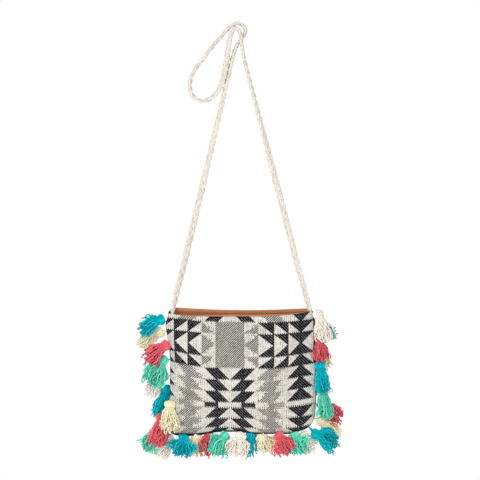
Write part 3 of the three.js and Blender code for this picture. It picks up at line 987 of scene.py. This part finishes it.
def wall_sheet(name, wall, material, shape):
    """Cloth that follows a wall of the pouch. Its place on the flat cloth is its UV, in metres."""
    # The points lie closer together towards the edges
    share = np.linspace(-1, 1, shape.columns)
    across = 0.4 * share + 0.6 * np.sin(share * math.pi / 2)
    up = np.linspace(0, 1, shape.rows)
    up = 0.5 * up + 0.25 * (1 - np.cos(math.pi * up))
    edge = across * (half_width(BAG_HEIGHT) - shape.inset)
    low, high = shape.bottom(edge), shape.top(edge)
    z = low[None, :] + (high - low)[None, :] * up[:, None]
    x = across[None, :] * (half_width(z) - shape.inset)

    to_edge = np.minimum(np.minimum(half_width(z) - shape.inset - np.abs(x), z - low), high - z)
    open_share = np.clip(to_edge / shape.roll, 0, 1)
    rolled = EDGE_THINNEST + (1 - EDGE_THINNEST) * np.sqrt(1 - (1 - open_share) ** 2)
    thickness = (shape.outside - shape.inside) * rolled
    middle = wall_depth(wall, x, z) + shape.wrinkle * unevenness(wall, x, z) * open_share
    middle += (shape.outside + shape.inside) / 2
    hung_x, hung_z = hung(x, z)
    layers = [
        np.stack([BAG_MIDDLE + hung_x, wall.side * depth, BAG_BOTTOM + hung_z], axis=2)
        for depth in (middle + thickness / 2, middle - thickness / 2)
    ]

    along = arc_lengths(layers[0], axis=1)
    along -= along[:, [shape.columns // 2]]
    downward = -arc_lengths(layers[0], axis=0)
    flat = (float(np.ptp(along, axis=1).max()), float(np.ptp(downward, axis=0).max()))
    uv = weave_place(wall, x, z, along, downward)
    vertices = np.concatenate([layer.reshape(-1, 3) for layer in layers])
    faces = closed_sheet_faces(shape.rows, shape.columns)
    sheet = object_of(name, vertices, faces, material, np.concatenate([uv, uv]))
    # Painted shade inside the mouth, which the tan strips' material reads
    shade = painted_mouth_shade(x, z, high, shape.inset).ravel()
    store_points(sheet.data, "shade", np.concatenate([shade, shade]))
    return sheet, flat


def seam_line(offset, steps=60, corner_steps=24):
    """Side and bottom seams, from the left corner of the mouth round to the right one."""
    heights = np.linspace(BAG_HEIGHT, CORNER_RADIUS, steps, endpoint=False)
    side = np.stack([half_width(heights) + offset, heights], axis=1)
    turns = -np.linspace(0, math.pi / 2, corner_steps)
    radius = CORNER_RADIUS + offset
    corner = np.stack([
        BAG_WIDTH / 2 - CORNER_RADIUS + radius * np.cos(turns), CORNER_RADIUS + radius * np.sin(turns)
    ], axis=1)
    bottom_x = np.linspace(BAG_WIDTH / 2 - CORNER_RADIUS, 0, steps)[1:]
    bottom = np.stack([bottom_x, np.full_like(bottom_x, -offset)], axis=1)
    right = np.concatenate([side, corner, bottom])
    left = right * np.array([-1, 1])
    return np.concatenate([left, right[-2::-1]])


def tape_reach(seam):
    """How far the tape stands out of the seam, at each of the seam's points."""
    x, height = seam.T
    below_mouth = smoothstep(BAG_HEIGHT, BAG_HEIGHT - TAPE_TUCK_END, height)
    tucked = smoothstep(*TAPE_TUCK_START, height) * below_mouth * (x < 0)
    extra = smoothstep(*TAPE_EXTRA_START, x) * smoothstep(TAPE_EXTRA_TOP, 0, height)
    at_corner = smoothstep(*TAPE_CORNER_START, x) * smoothstep(*TAPE_CORNER_TOP, height)
    return TAPE_SHOW - TAPE_TUCK * tucked + TAPE_EXTRA * extra - TAPE_CORNER * at_corner


def outward_directions():
    """Directions straight out of the seam, at each of the seam's points."""
    return unit(seam_line(MM) - seam_line(0.0))


# Strap


def blend(t, start, end, first, second):
    """Points between two points, at places between theirs."""
    return (end - t) / (end - start) * first + (t - start) / (end - start) * second


def smooth_route(points, spacing):
    """Evenly spaced points on a smooth curve through the points given."""
    points = np.asarray(points, dtype=float)
    ends = np.concatenate([[2 * points[0] - points[1]], points, [2 * points[-1] - points[-2]]])
    fine = []
    for p0, p1, p2, p3 in zip(ends, ends[1:], ends[2:], ends[3:]):
        spans = [math.sqrt(np.linalg.norm(b - a)) for a, b in ((p0, p1), (p1, p2), (p2, p3))]
        t0, t1, t2, t3 = np.cumsum([0, *spans])
        t = np.linspace(t1, t2, ROUTE_STEPS, endpoint=False)[:, None]
        a1, a2, a3 = blend(t, t0, t1, p0, p1), blend(t, t1, t2, p1, p2), blend(t, t2, t3, p2, p3)
        b1, b2 = blend(t, t0, t2, a1, a2), blend(t, t1, t3, a2, a3)
        fine.append(blend(t, t1, t2, b1, b2))
    fine = np.concatenate([*fine, points[-1:]])
    along = np.concatenate([[0], np.cumsum(np.linalg.norm(np.diff(fine, axis=0), axis=1))])
    places = np.linspace(0, along[-1], int(along[-1] / spacing) + 1)
    return np.stack([np.interp(places, along, fine[:, i]) for i in range(3)], axis=1), places


def strap_route():
    """The strap's middle line, from its left tail over the peg and round its loop to its right tail."""
    loop = [np.array(point) * MM for point in LOOP_ROUTE_MM]
    left, right = np.array(STRAP_FEET[-1]), np.array(STRAP_FEET[1])
    up = [left + (loop[0] - left) * i / RUN_POINTS for i in range(RUN_POINTS)]
    down = [right + (loop[-1] - right) * i / RUN_POINTS for i in range(RUN_POINTS)]
    return smooth_route([left - TAIL * UP, *up, *loop, *down[::-1], right - TAIL * UP], ROUTE_SPACING)


def unit(vectors):
    """Vectors of length 1 in the same directions."""
    return vectors / np.linalg.norm(vectors, axis=-1, keepdims=True)


def strap_guide():
    """Line mesh of the strap's route that carries its flat direction, its side and its end tapers."""
    points, along = strap_route()
    tangent = unit(np.gradient(points, axis=0))
    backward = unit(FRONT_TO_BACK - tangent * (tangent @ FRONT_TO_BACK)[:, None])
    sideways = np.cross(tangent, backward)
    places, turns = zip(*STRAP_TWIST)
    turn = np.radians(np.interp(along / along[-1], places, turns))[:, None]
    flat = np.cos(turn) * sideways + np.sin(turn) * backward
    from_end = np.minimum(along, along[-1] - along)
    taper = smoothstep(TAIL * TAIL_TAPER[0], TAIL * TAIL_TAPER[1], from_end)
    mesh = line_mesh("strap_guide", points)
    carried = {"flat": flat, "side": np.cross(tangent, flat), "along": along, "taper": taper}
    for name, values in carried.items():
        store_points(mesh, name, values)
    return mesh, points


def braid_tree():
    """Flat braid of three strands, each a bundle of yarns, along a guide line."""
    nodes, given = geometry_tree(
        "flat_braid", Guide=GEOMETRY, Width=FLOAT, Thickness=FLOAT, Period=FLOAT, Yarns=INT, Yarn=FLOAT,
        Seed=INT, Finish=MATERIAL,
    )
    curve = nodes.add("GeometryNodeMeshToCurve", None, [given.Guide])
    sockets = {0: curve, 2: 3 * given.Yarns}
    copies = nodes.add("GeometryNodeDuplicateElements", {"domain": "SPLINE"}, sockets)
    number = copies.out("Duplicate Index")
    strand = (number / given.Yarns).floor()
    yarn = number % given.Yarns
    along = nodes.attribute("along")
    taper = nodes.attribute("taper")

    # A strand swings from edge to edge and passes over and under the other two
    swing = (along / given.Period + strand / 3) * math.tau
    bundle_turn = (yarn / given.Yarns + along / (BUNDLE_TURN * given.Period)) * math.tau
    bundle = given.Yarn * BUNDLE_REACH
    reach = given.Width * 0.5 - bundle - given.Yarn
    lift = given.Thickness * 0.5 - bundle * BUNDLE_FLATNESS - given.Yarn
    loose = nodes.random(-1.0, 1.0, number, given.Seed) * given.Yarn * STRAND_LOOSENESS
    sway = swing.math("SINE")
    sway = abs(sway) ** SWAY_POWER * sway.math("SIGN")
    across = sway * reach + bundle_turn.math("COSINE") * bundle + loose
    over = (swing * 2).math("SINE") * lift + bundle_turn.math("SINE") * bundle * BUNDLE_FLATNESS
    across = across * (taper * (1 - TAIL_WIDTH) + TAIL_WIDTH)
    over = over * (taper * (1 - TAIL_DEPTH) + TAIL_DEPTH)
    offset = nodes.sum(
        nodes.scaled(nodes.attribute("flat", "FLOAT_VECTOR"), across),
        nodes.scaled(nodes.attribute("side", "FLOAT_VECTOR"), over),
    )
    moved = nodes.add("GeometryNodeSetPosition", None, {"Geometry": copies, "Offset": offset})
    toned = nodes.store(moved, "tone", nodes.random(*STRAP_TONES, number, given.Seed))
    tubes = nodes.yarn_tube(toned, given.Yarn, STRAP_SIDES)
    nodes.finish([tubes], given.Finish)
    return nodes.tree


# Tassels


def tassel_frame(node):
    """Crown, downward axis, wide direction and length of a packed tassel."""
    points = np.array([v.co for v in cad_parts[node].data.vertices])
    points = np.unique(np.round(points, 6), axis=0)
    middle = points.mean(axis=0)
    _, _, (axis, across, _) = np.linalg.svd(points - middle, full_matrices=False)
    along = (points - middle) @ axis
    radius = np.linalg.norm(points - middle - np.outer(along, axis), axis=1)
    # The axis points to the wider end
    if radius[along < along.min() * 0.8].mean() > radius[along > along.max() * 0.8].mean():
        axis, along = -axis, -along
    return middle + axis * along.min(), axis, across, float(np.ptp(along))


def strand_copies(nodes, amount, points):
    """Numbered copies of a line, their numbers, and the place along each."""
    line = nodes.add("GeometryNodeCurvePrimitiveLine")
    line = nodes.add("GeometryNodeResampleCurve", None, {"Curve": line, "Count": points})
    copies = nodes.add("GeometryNodeDuplicateElements", {"domain": "SPLINE"}, {0: line, 2: amount})
    return copies, copies.out("Duplicate Index"), nodes.add("GeometryNodeSplineParameter")


def placed_yarn(nodes, curves, place, along, tone, radius):
    """Yarns along curves that are moved into place, with their length and tone for the material."""
    moved = nodes.add("GeometryNodeSetPosition", None, {"Geometry": curves, "Position": place})
    carrying = nodes.store(nodes.store(moved, "along", along), "tone", tone)
    return nodes.yarn_tube(carrying, radius, YARN_SIDES)


def centred_noise(nodes, *place):
    """Smooth noise vectors about zero."""
    spot = nodes.add("ShaderNodeCombineXYZ", None, place)
    sockets = {"Vector": spot, "Scale": 1.0, "Detail": 0.0}
    colour = nodes.add("ShaderNodeTexNoise", None, sockets).out("Color")
    return nodes.vector("SUBTRACT", colour, (0.5, 0.5, 0.5))


def tassel_yarns(nodes, given, inward):
    """Yarns folded over at the crown, drawn in at the neck and fanned out below it."""
    copies, number, along = strand_copies(nodes, given.Strands, YARN_POINTS)
    rim = ((number + 0.5) / given.Strands) ** RIM_POWER
    turn = number * GOLDEN_TURN
    rim_across, rim_inward = rim * turn.math("COSINE"), rim * turn.math("SINE")
    length = given.Length * nodes.random(*YARN_LENGTHS, number, given.Seed)
    fan = nodes.random(*YARN_FANS, number, given.Seed + 1)
    head = nodes.add("ShaderNodeFloatCurve", {"curve": HEAD_SHAPE}, {"Value": along}) * given.Head * 0.5
    below = ((along - NECK_PLACE) / (1 - NECK_PLACE)).math("MAXIMUM", 0.0)
    flare = (1 - (1 - below) ** FLARE_POWER) * (1 - below ** 4 * HEM_CURL)
    skirt = (given.Spread * 0.5 - given.Head * 0.5 * NECK_SHARE) * flare * fan
    wide = (head + skirt) * rim_across
    deep = (head + skirt * SKIRT_DEPTH) * rim_inward * TASSEL_FLATNESS
    drop = along * length - wide * wide / length * HEM_ROUNDNESS * below

    seed = given.Seed * SEED_SHIFT
    between, lengthwise = BUNDLE_NOISE
    bundled = centred_noise(nodes, rim_across * between, rim_inward * between, along * lengthwise + seed)
    between, lengthwise = YARN_NOISE
    single = centred_noise(nodes, along * lengthwise, number * between, seed)
    place = nodes.sum(
        given.Crown, nodes.scaled(given.Down, drop), nodes.scaled(given.Across, wide),
        nodes.scaled(inward, deep), nodes.scaled(given.Sag, below * below),
        nodes.scaled(bundled, given.Wave * below * BUNDLE_STRAY),
        nodes.scaled(single, given.Wave * below.math("SQRT") * YARN_CRIMP),
    )
    # Tone differs at random from yarn to yarn, and falls towards the tassel's middle as painted shade
    tone = nodes.random(*YARN_TONES, number, given.Seed + 2) * rim
    return placed_yarn(nodes, copies, place, along * length, tone, given.Yarn)


def neck_binding(nodes, given, inward):
    """Yarn that is wound round the neck."""
    coil = nodes.add("GeometryNodeCurveSpiral", None, [BINDING_STEPS, BINDING_TURNS, 1.0, 1.0, 1.0])
    spot = nodes.add("ShaderNodeSeparateXYZ", None, [nodes.add("GeometryNodeInputPosition")])
    neck = given.Head * 0.5 * NECK_SHARE
    drop = given.Length * (NECK_PLACE - BINDING_RISE) + spot.out("Z") * given.Yarn * BINDING_WIDTH
    place = nodes.sum(
        given.Crown,
        nodes.scaled(given.Down, drop),
        nodes.scaled(given.Across, spot * (neck + given.Yarn)),
        nodes.scaled(inward, spot.out("Y") * (neck * TASSEL_FLATNESS + given.Yarn)),
    )
    turns = nodes.add("GeometryNodeSplineParameter").out("Length")
    along = turns * given.Head * 0.3
    return placed_yarn(nodes, coil, place, along, BINDING_TONE, given.Yarn * BINDING_YARN)


def holding_stitches(nodes, given, inward):
    """Stitches that hold the head to the tape."""
    copies, number, along = strand_copies(nodes, HOLD_STITCHES, HOLD_POINTS)
    side = (number - HOLD_STITCHES // 2) * given.Yarn * HOLD_SPREAD
    arch = (along * math.pi).math("SINE") * given.Yarn * HOLD_ARCH * ((number % 2) * 2 - 1)
    hold = nodes.sum(given.Crown, nodes.scaled(given.Down, given.Length * HOLD_DROP))
    towards = nodes.vector("SUBTRACT", hold, given.Seat)
    place = nodes.sum(
        given.Seat, nodes.scaled(towards, along), nodes.scaled(given.Across, side * along),
        nodes.scaled(inward, arch),
    )
    return placed_yarn(nodes, copies, place, along * HOLD_LENGTH, HOLD_TONE, given.Yarn * BINDING_YARN)


def tassel_tree():
    """A tassel: its yarns, the binding round its neck and the stitches that hold it."""
    nodes, given = geometry_tree(
        "yarn_tassel", Strands=INT, Length=FLOAT, Head=FLOAT, Spread=FLOAT, Yarn=FLOAT, Wave=FLOAT,
        Crown=VECTOR, Down=VECTOR, Across=VECTOR, Sag=VECTOR, Seat=VECTOR, Seed=INT, Finish=MATERIAL,
    )
    inward = nodes.vector("CROSS_PRODUCT", given.Down, given.Across)
    parts = [make(nodes, given, inward) for make in (tassel_yarns, neck_binding, holding_stitches)]
    nodes.finish(parts, given.Finish)
    return nodes.tree


# Stitching


def stitch_tree():
    """Stitches laid end to end along a line, a little sunk into the cloth."""
    nodes, given = geometry_tree(
        "stitch_row", Line=GEOMETRY, Pitch=FLOAT, Stitch=FLOAT, Thread=FLOAT, Finish=MATERIAL
    )
    curve = nodes.add("GeometryNodeMeshToCurve", None, [given.Line])
    spacing = {"Curve": curve, "Length": given.Pitch}
    points = nodes.add("GeometryNodeCurveToPoints", {"mode": "LENGTH"}, spacing)
    bead = nodes.add("GeometryNodeMeshUVSphere", None, {"Segments": 8, "Rings": 6, "Radius": 1.0})
    slim = nodes.add("ShaderNodeCombineXYZ", None, [given.Thread, given.Thread, given.Stitch * 0.5])
    sockets = {"Points": points, "Instance": bead, "Rotation": points.out("Rotation"), "Scale": slim}
    row = nodes.add("GeometryNodeInstanceOnPoints", None, sockets)
    nodes.finish([row], given.Finish)
    return nodes.tree


# Operators


class CROSSBODY_OT_stage(bpy.types.Operator):
    """Set the camera, the soft studio light and the pale floor"""

    bl_idname = "crossbody.stage"
    bl_label = "Stage and Camera"

    def execute(self, context):
        scene = context.scene
        scene.view_settings.view_transform = "Standard"
        self.add_camera(scene)
        self.add_world(scene)
        for name, (place, size, power) in LAMPS.items():
            self.add_light(scene, name, place, size, power)
        self.add_floor(scene)
        return {"FINISHED"}

    @staticmethod
    def middle():
        """Point of the bag's plane in the middle of the photograph."""
        half = FRAME_PIXELS / 2
        return Vector(((half - HANG_PIXEL[0]) * PIXEL, 0, (HANG_PIXEL[1] - half) * PIXEL + CAMERA_LIFT))

    def add_camera(self, scene):
        data = bpy.data.cameras.new("camera")
        data.sensor_width = SENSOR_WIDTH
        data.lens = SENSOR_WIDTH * CAMERA_DISTANCE / (FRAME_PIXELS * PIXEL)
        camera = bpy.data.objects.new("camera", data)
        back = Vector((0, -math.cos(CAMERA_PITCH), math.sin(CAMERA_PITCH)))
        camera.location = self.middle() + CAMERA_DISTANCE * back
        camera.rotation_euler = (math.pi / 2 - CAMERA_PITCH, 0, 0)
        scene.collection.objects.link(camera)
        scene.camera = camera

    @staticmethod
    def add_world(scene):
        world = bpy.data.worlds.new("studio")
        world.use_nodes = True
        nodes = Nodes(world.node_tree)
        # What the camera sees of the world, and what gloss and glass show of it, is white
        path = nodes.add("ShaderNodeLightPath").out("Is Camera Ray")
        seen = path.math("MAXIMUM", path.out("Is Glossy Ray"))
        seen = seen.math("MAXIMUM", path.out("Is Transmission Ray"))
        background = next(n for n in world.node_tree.nodes if n.type == "BACKGROUND")
        background.inputs["Color"].default_value = (1, 1, 1, 1)
        strength = seen * (1 - AMBIENT) + AMBIENT
        world.node_tree.links.new(strength.socket, background.inputs["Strength"])
        scene.world = world

    def add_light(self, scene, name, place, size, power):
        data = bpy.data.lights.new(name, "AREA")
        data.size = size
        data.energy = power
        light = bpy.data.objects.new(name, data)
        light.location = place
        light.visible_camera = False
        light.rotation_euler = (self.middle() - light.location).to_track_quat("-Z", "Y").to_euler()
        scene.collection.objects.link(light)

    @staticmethod
    def add_floor(scene):
        half = FLOOR_HALF
        corners = [(-half, -half), (half, -half), (half, half), (-half, half)]
        mesh = bpy.data.meshes.new("floor")
        mesh.from_pydata([(x, y, -FLOOR_DROP) for x, y in corners], [], [(0, 1, 2, 3)])
        mesh.materials.append(floor_material())
        floor = bpy.data.objects.new("floor", mesh)
        scene.collection.objects.link(floor)


class CROSSBODY_OT_strap(bpy.types.Operator):
    """Braid the cotton strap along its route over the peg"""

    bl_idname = "crossbody.strap"
    bl_label = "Braided Strap"

    def execute(self, context):
        sizes = context.scene.crossbody_sizes
        cream = tuple(context.scene.crossbody_colours.strap_cream)
        cotton = yarn_material("strap_cotton", cream, STRAP_PLY, STRAP_PATCHES, STRAP_DEPTH)
        guide, points = strap_guide()
        values = {
            "Width": sizes.braid_width, "Thickness": sizes.braid_thickness, "Period": sizes.braid_period,
            "Yarns": sizes.strand_yarns, "Yarn": sizes.braid_yarn, "Seed": STRAP_SEED, "Finish": cotton,
        }
        strap = grown("braided_strap", braid_tree(), values, guide)
        seat(strap, "strap_cotton", "strap")
        return {"FINISHED"}


class CROSSBODY_OT_panels(bpy.types.Operator):
    """Shape the two woven panels of the pouch"""

    bl_idname = "crossbody.panels"
    bl_label = "Woven Panels"

    def execute(self, context):
        sizes = context.scene.crossbody_sizes
        cloth = woven_cloth(context.scene.crossbody_colours)
        for name, wall in WALLS.items():
            shape = SimpleNamespace(
                columns=141, rows=121, inset=0.0, inside=0.0, outside=CLOTH, roll=EDGE_ROLL,
                wrinkle=sizes.wrinkle, bottom=np.zeros_like,
                top=lambda x, wall=wall: mouth_height(wall, x),
            )
            panel, flat = wall_sheet(f"{name}_woven_panel", wall, cloth, shape)
            seat(panel, "woven_cloth", f"{name}_panel")
        return {"FINISHED"}


class CROSSBODY_OT_inside(bpy.types.Operator):
    """Line the pouch and face its mouth"""

    bl_idname = "crossbody.inside"
    bl_label = "Facings and Lining"

    def execute(self, context):
        sizes = context.scene.crossbody_sizes
        colours = context.scene.crossbody_colours
        facing_finish = tan_strip("tan_facing", tuple(colours.facing_tan), FACING_RIB)
        lining_finish = tan_strip("tan_lining", tuple(colours.lining_tan), LINING_RIB)
        for name, wall in WALLS.items():
            facing = SimpleNamespace(
                columns=101, rows=25, inset=FACING_INSET, inside=FACING_LAYER[0], outside=FACING_LAYER[1],
                roll=THIN_ROLL, wrinkle=sizes.wrinkle,
                bottom=lambda x, wall=wall: mouth_height(wall, x) - FACING_HEIGHT,
                top=lambda x, wall=wall: mouth_height(wall, x, FACING_SHOW),
            )
            lining = SimpleNamespace(
                columns=81, rows=61, inset=LINING_INSET, inside=LINING_LAYER[0], outside=LINING_LAYER[1],
                roll=THIN_ROLL, wrinkle=sizes.wrinkle, bottom=lambda x: np.full_like(x, LINING_INSET),
                top=lambda x, wall=wall: mouth_height(wall, x) - FACING_HEIGHT,
            )
            strips = (("facing", facing, facing_finish), ("lining", lining, lining_finish))
            for part, shape, finish in strips:
                sheet, flat = wall_sheet(f"{name}_{part}_cloth", wall, finish, shape)
                seat(sheet, f"tan_{part}", f"{name}_{part}")
        return {"FINISHED"}


class CROSSBODY_OT_tape(bpy.types.Operator):
    """Run the black tape round the side and bottom seams"""

    bl_idname = "crossbody.tape"
    bl_label = "Seam Tape"

    def execute(self, context):
        sides = TAPE_SIDES
        turns = np.linspace(0, math.tau, sides, endpoint=False)
        circle = np.stack([np.cos(turns), np.sin(turns)])
        round_share = np.sign(circle) * np.abs(circle) ** TAPE_SQUARENESS
        seam = seam_line(0.0)
        outward = outward_directions()
        along = np.concatenate([[0], np.cumsum(np.linalg.norm(np.diff(seam, axis=0), axis=1))])
        ripple = sum(height * np.sin(along / pitch + start) for height, pitch, start in TAPE_RIPPLES)
        show = tape_reach(seam)
        from_end = np.clip(np.minimum(along, along[-1] - along) / TAPE_END, 0, 1)
        closing = np.maximum(TAPE_TIP, np.sqrt(1 - (1 - from_end) ** 2))
        seam = np.stack(hung(*seam.T), axis=1)
        rings, uv = [], []
        for point, out, shift, place, edge, close in zip(seam, outward, ripple, along, show, closing):
            reach = (edge + TAPE_INSIDE) / 2
            flat = point + np.outer((edge - TAPE_INSIDE) / 2 + reach * close * round_share[0] + shift, out)
            depth = TAPE_THICKNESS / 2 * close * round_share[1] + shift * TAPE_SWAY
            rings.append(np.stack([BAG_MIDDLE + flat[:, 0], depth, BAG_BOTTOM + flat[:, 1]], axis=1))
            uv.append(np.stack([np.full(sides, place), reach * np.cos(turns)], axis=1))
        count = len(rings)
        faces = [
            (r * sides + s, r * sides + (s + 1) % sides,
             (r + 1) * sides + (s + 1) % sides, (r + 1) * sides + s)
            for r in range(count - 1) for s in range(sides)
        ]
        faces.append(tuple(range(sides)))
        faces.append(tuple((count - 1) * sides + s for s in range(sides)))
        tape = object_of(
            "seam_tape", np.concatenate(rings), faces, black_tape(context.scene.crossbody_colours),
            np.concatenate(uv),
        )
        seat(tape, "black_tape", "trim_tape")
        return {"FINISHED"}


class CROSSBODY_OT_stitching(bpy.types.Operator):
    """Sew the rows of stitches along the facings"""

    bl_idname = "crossbody.stitching"
    bl_label = "Stitching"

    def execute(self, context):
        tan = tuple(context.scene.crossbody_colours.facing_tan)
        thread = thread_material("facing_thread", darker(tan, THREAD_SHADE))
        tree = stitch_tree()
        for name, wall in WALLS.items():
            reach = half_width(BAG_HEIGHT) - FACING_INSET - STITCH_MARGIN
            x = np.linspace(-reach, reach, STITCH_POINTS)
            z = mouth_height(wall, x, FACING_SHOW) - STITCH_DROP
            depth = wall_depth(wall, x, z) + FACING_LAYER[0]
            depth += context.scene.crossbody_sizes.wrinkle * unevenness(wall, x, z)
            hung_x, hung_z = hung(x, z)
            line = np.stack([BAG_MIDDLE + hung_x, wall.side * depth, BAG_BOTTOM + hung_z], axis=1)
            values = {
                "Pitch": STITCH_PITCH, "Stitch": STITCH_LENGTH, "Thread": STITCH_THREAD, "Finish": thread,
            }
            row = grown(f"{name}_facing_stitches", tree, values, line_mesh("stitch_line", line))
            seat(row, "tan_facing")
        return {"FINISHED"}


class CROSSBODY_OT_tassels(bpy.types.Operator):
    """Tie the yarn tassels along the seam tape"""

    bl_idname = "crossbody.tassels"
    bl_label = "Tassels"

    def execute(self, context):
        sizes = context.scene.crossbody_sizes
        colours = context.scene.crossbody_colours
        finishes = {}
        for yarn, deep in zip(YARNS, YARN_DEPTHS):
            colour = tuple(getattr(colours, yarn))
            finishes[yarn] = yarn_material(f"yarn_{yarn}", colour, TASSEL_PLY, TASSEL_PATCHES, deep)
        tree = tassel_tree()

        # The tassels are sewn to the middle of what shows of the tape
        seam = seam_line(0.0)
        edge = np.stack(hung(*seam.T), axis=1) + outward_directions() * tape_reach(seam)[:, None] * 0.5
        edge = np.stack([BAG_MIDDLE + edge[:, 0], np.zeros(len(edge)), BAG_BOTTOM + edge[:, 1]], axis=1)
        for index, (right, up, swung, stretch, spread) in enumerate(TASSEL_HANGS):
            yarn = YARNS[index % len(YARNS)]
            node = f"tassel_{index + 1:02d}_{yarn}"
            crown, down, across, length = tassel_frame(node)
            swing = Matrix.Rotation(-math.radians(swung), 3, "Y")
            down, across = np.array(swing @ Vector(down)), np.array(swing @ Vector(across))
            if index + 1 == FRONT_TASSEL:
                down = unit(down * np.array([1, FRONT_LEAN, 1]))
            crown = crown + np.array([right, TASSEL_DEPTHS.get(index + 1, 0), up]) * MM
            length *= LENGTH_SHARE * stretch
            strands = sizes.tassel_strands
            if index + 1 == SPARSE_TASSEL:
                strands = int(strands * SPARSE_SHARE)
            head = crown + down * sizes.head_width * HOLD_PLACE
            nearest = edge[np.argmin(np.linalg.norm(edge - head, axis=1))]
            sag = -UP * TASSEL_SAG * math.sqrt(max(0.0, 1 - down[2] ** 2))
            values = {
                "Strands": strands, "Length": length, "Head": sizes.head_width,
                "Spread": spread * MM, "Yarn": sizes.tassel_yarn, "Wave": sizes.yarn_wave,
                "Crown": tuple(map(float, crown)), "Down": tuple(map(float, down)),
                "Across": tuple(map(float, across)), "Sag": tuple(map(float, sag)),
                "Seat": tuple(map(float, nearest)), "Seed": SEED_STEP * index, "Finish": finishes[yarn],
            }
            tassel = grown(f"{node}_yarns", tree, values)
            seat(tassel, f"yarn_{yarn}", node)
        return {"FINISHED"}


class CROSSBODY_PT_bag(bpy.types.Panel):
    """The bag's sizes, colours and pieces"""

    bl_idname = "CROSSBODY_PT_bag"
    bl_label = "Crossbody Bag"
    bl_space_type = "VIEW_3D"
    bl_region_type = "UI"
    bl_category = "Crossbody Bag"

    def draw(self, context):
        for settings in (context.scene.crossbody_sizes, context.scene.crossbody_colours):
            for name in settings.bl_rna.properties.keys():
                if name not in ("name", "rna_type"):
                    self.layout.prop(settings, name)
        for operator in OPERATORS:
            self.layout.operator(operator.bl_idname)


OPERATORS = (
    CROSSBODY_OT_stage,
    CROSSBODY_OT_strap,
    CROSSBODY_OT_panels,
    CROSSBODY_OT_inside,
    CROSSBODY_OT_tape,
    CROSSBODY_OT_stitching,
    CROSSBODY_OT_tassels,
)
CLASSES = (BagSizes, BagColours, *OPERATORS, CROSSBODY_PT_bag)


def register():
    """Makes the settings, the operators and the panel known."""
    for cls in CLASSES:
        bpy.utils.register_class(cls)
    bpy.types.Scene.crossbody_sizes = PointerProperty(type=BagSizes)
    bpy.types.Scene.crossbody_colours = PointerProperty(type=BagColours)


def unregister():
    """Takes them away again."""
    del bpy.types.Scene.crossbody_colours
    del bpy.types.Scene.crossbody_sizes
    for cls in reversed(CLASSES):
        bpy.utils.unregister_class(cls)


def main():
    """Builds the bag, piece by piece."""
    register()
    bpy.ops.crossbody.stage()
    bpy.ops.crossbody.strap()
    bpy.ops.crossbody.panels()
    bpy.ops.crossbody.inside()
    bpy.ops.crossbody.tape()
    bpy.ops.crossbody.stitching()
    bpy.ops.crossbody.tassels()


if __name__ == "__main__":
    main()
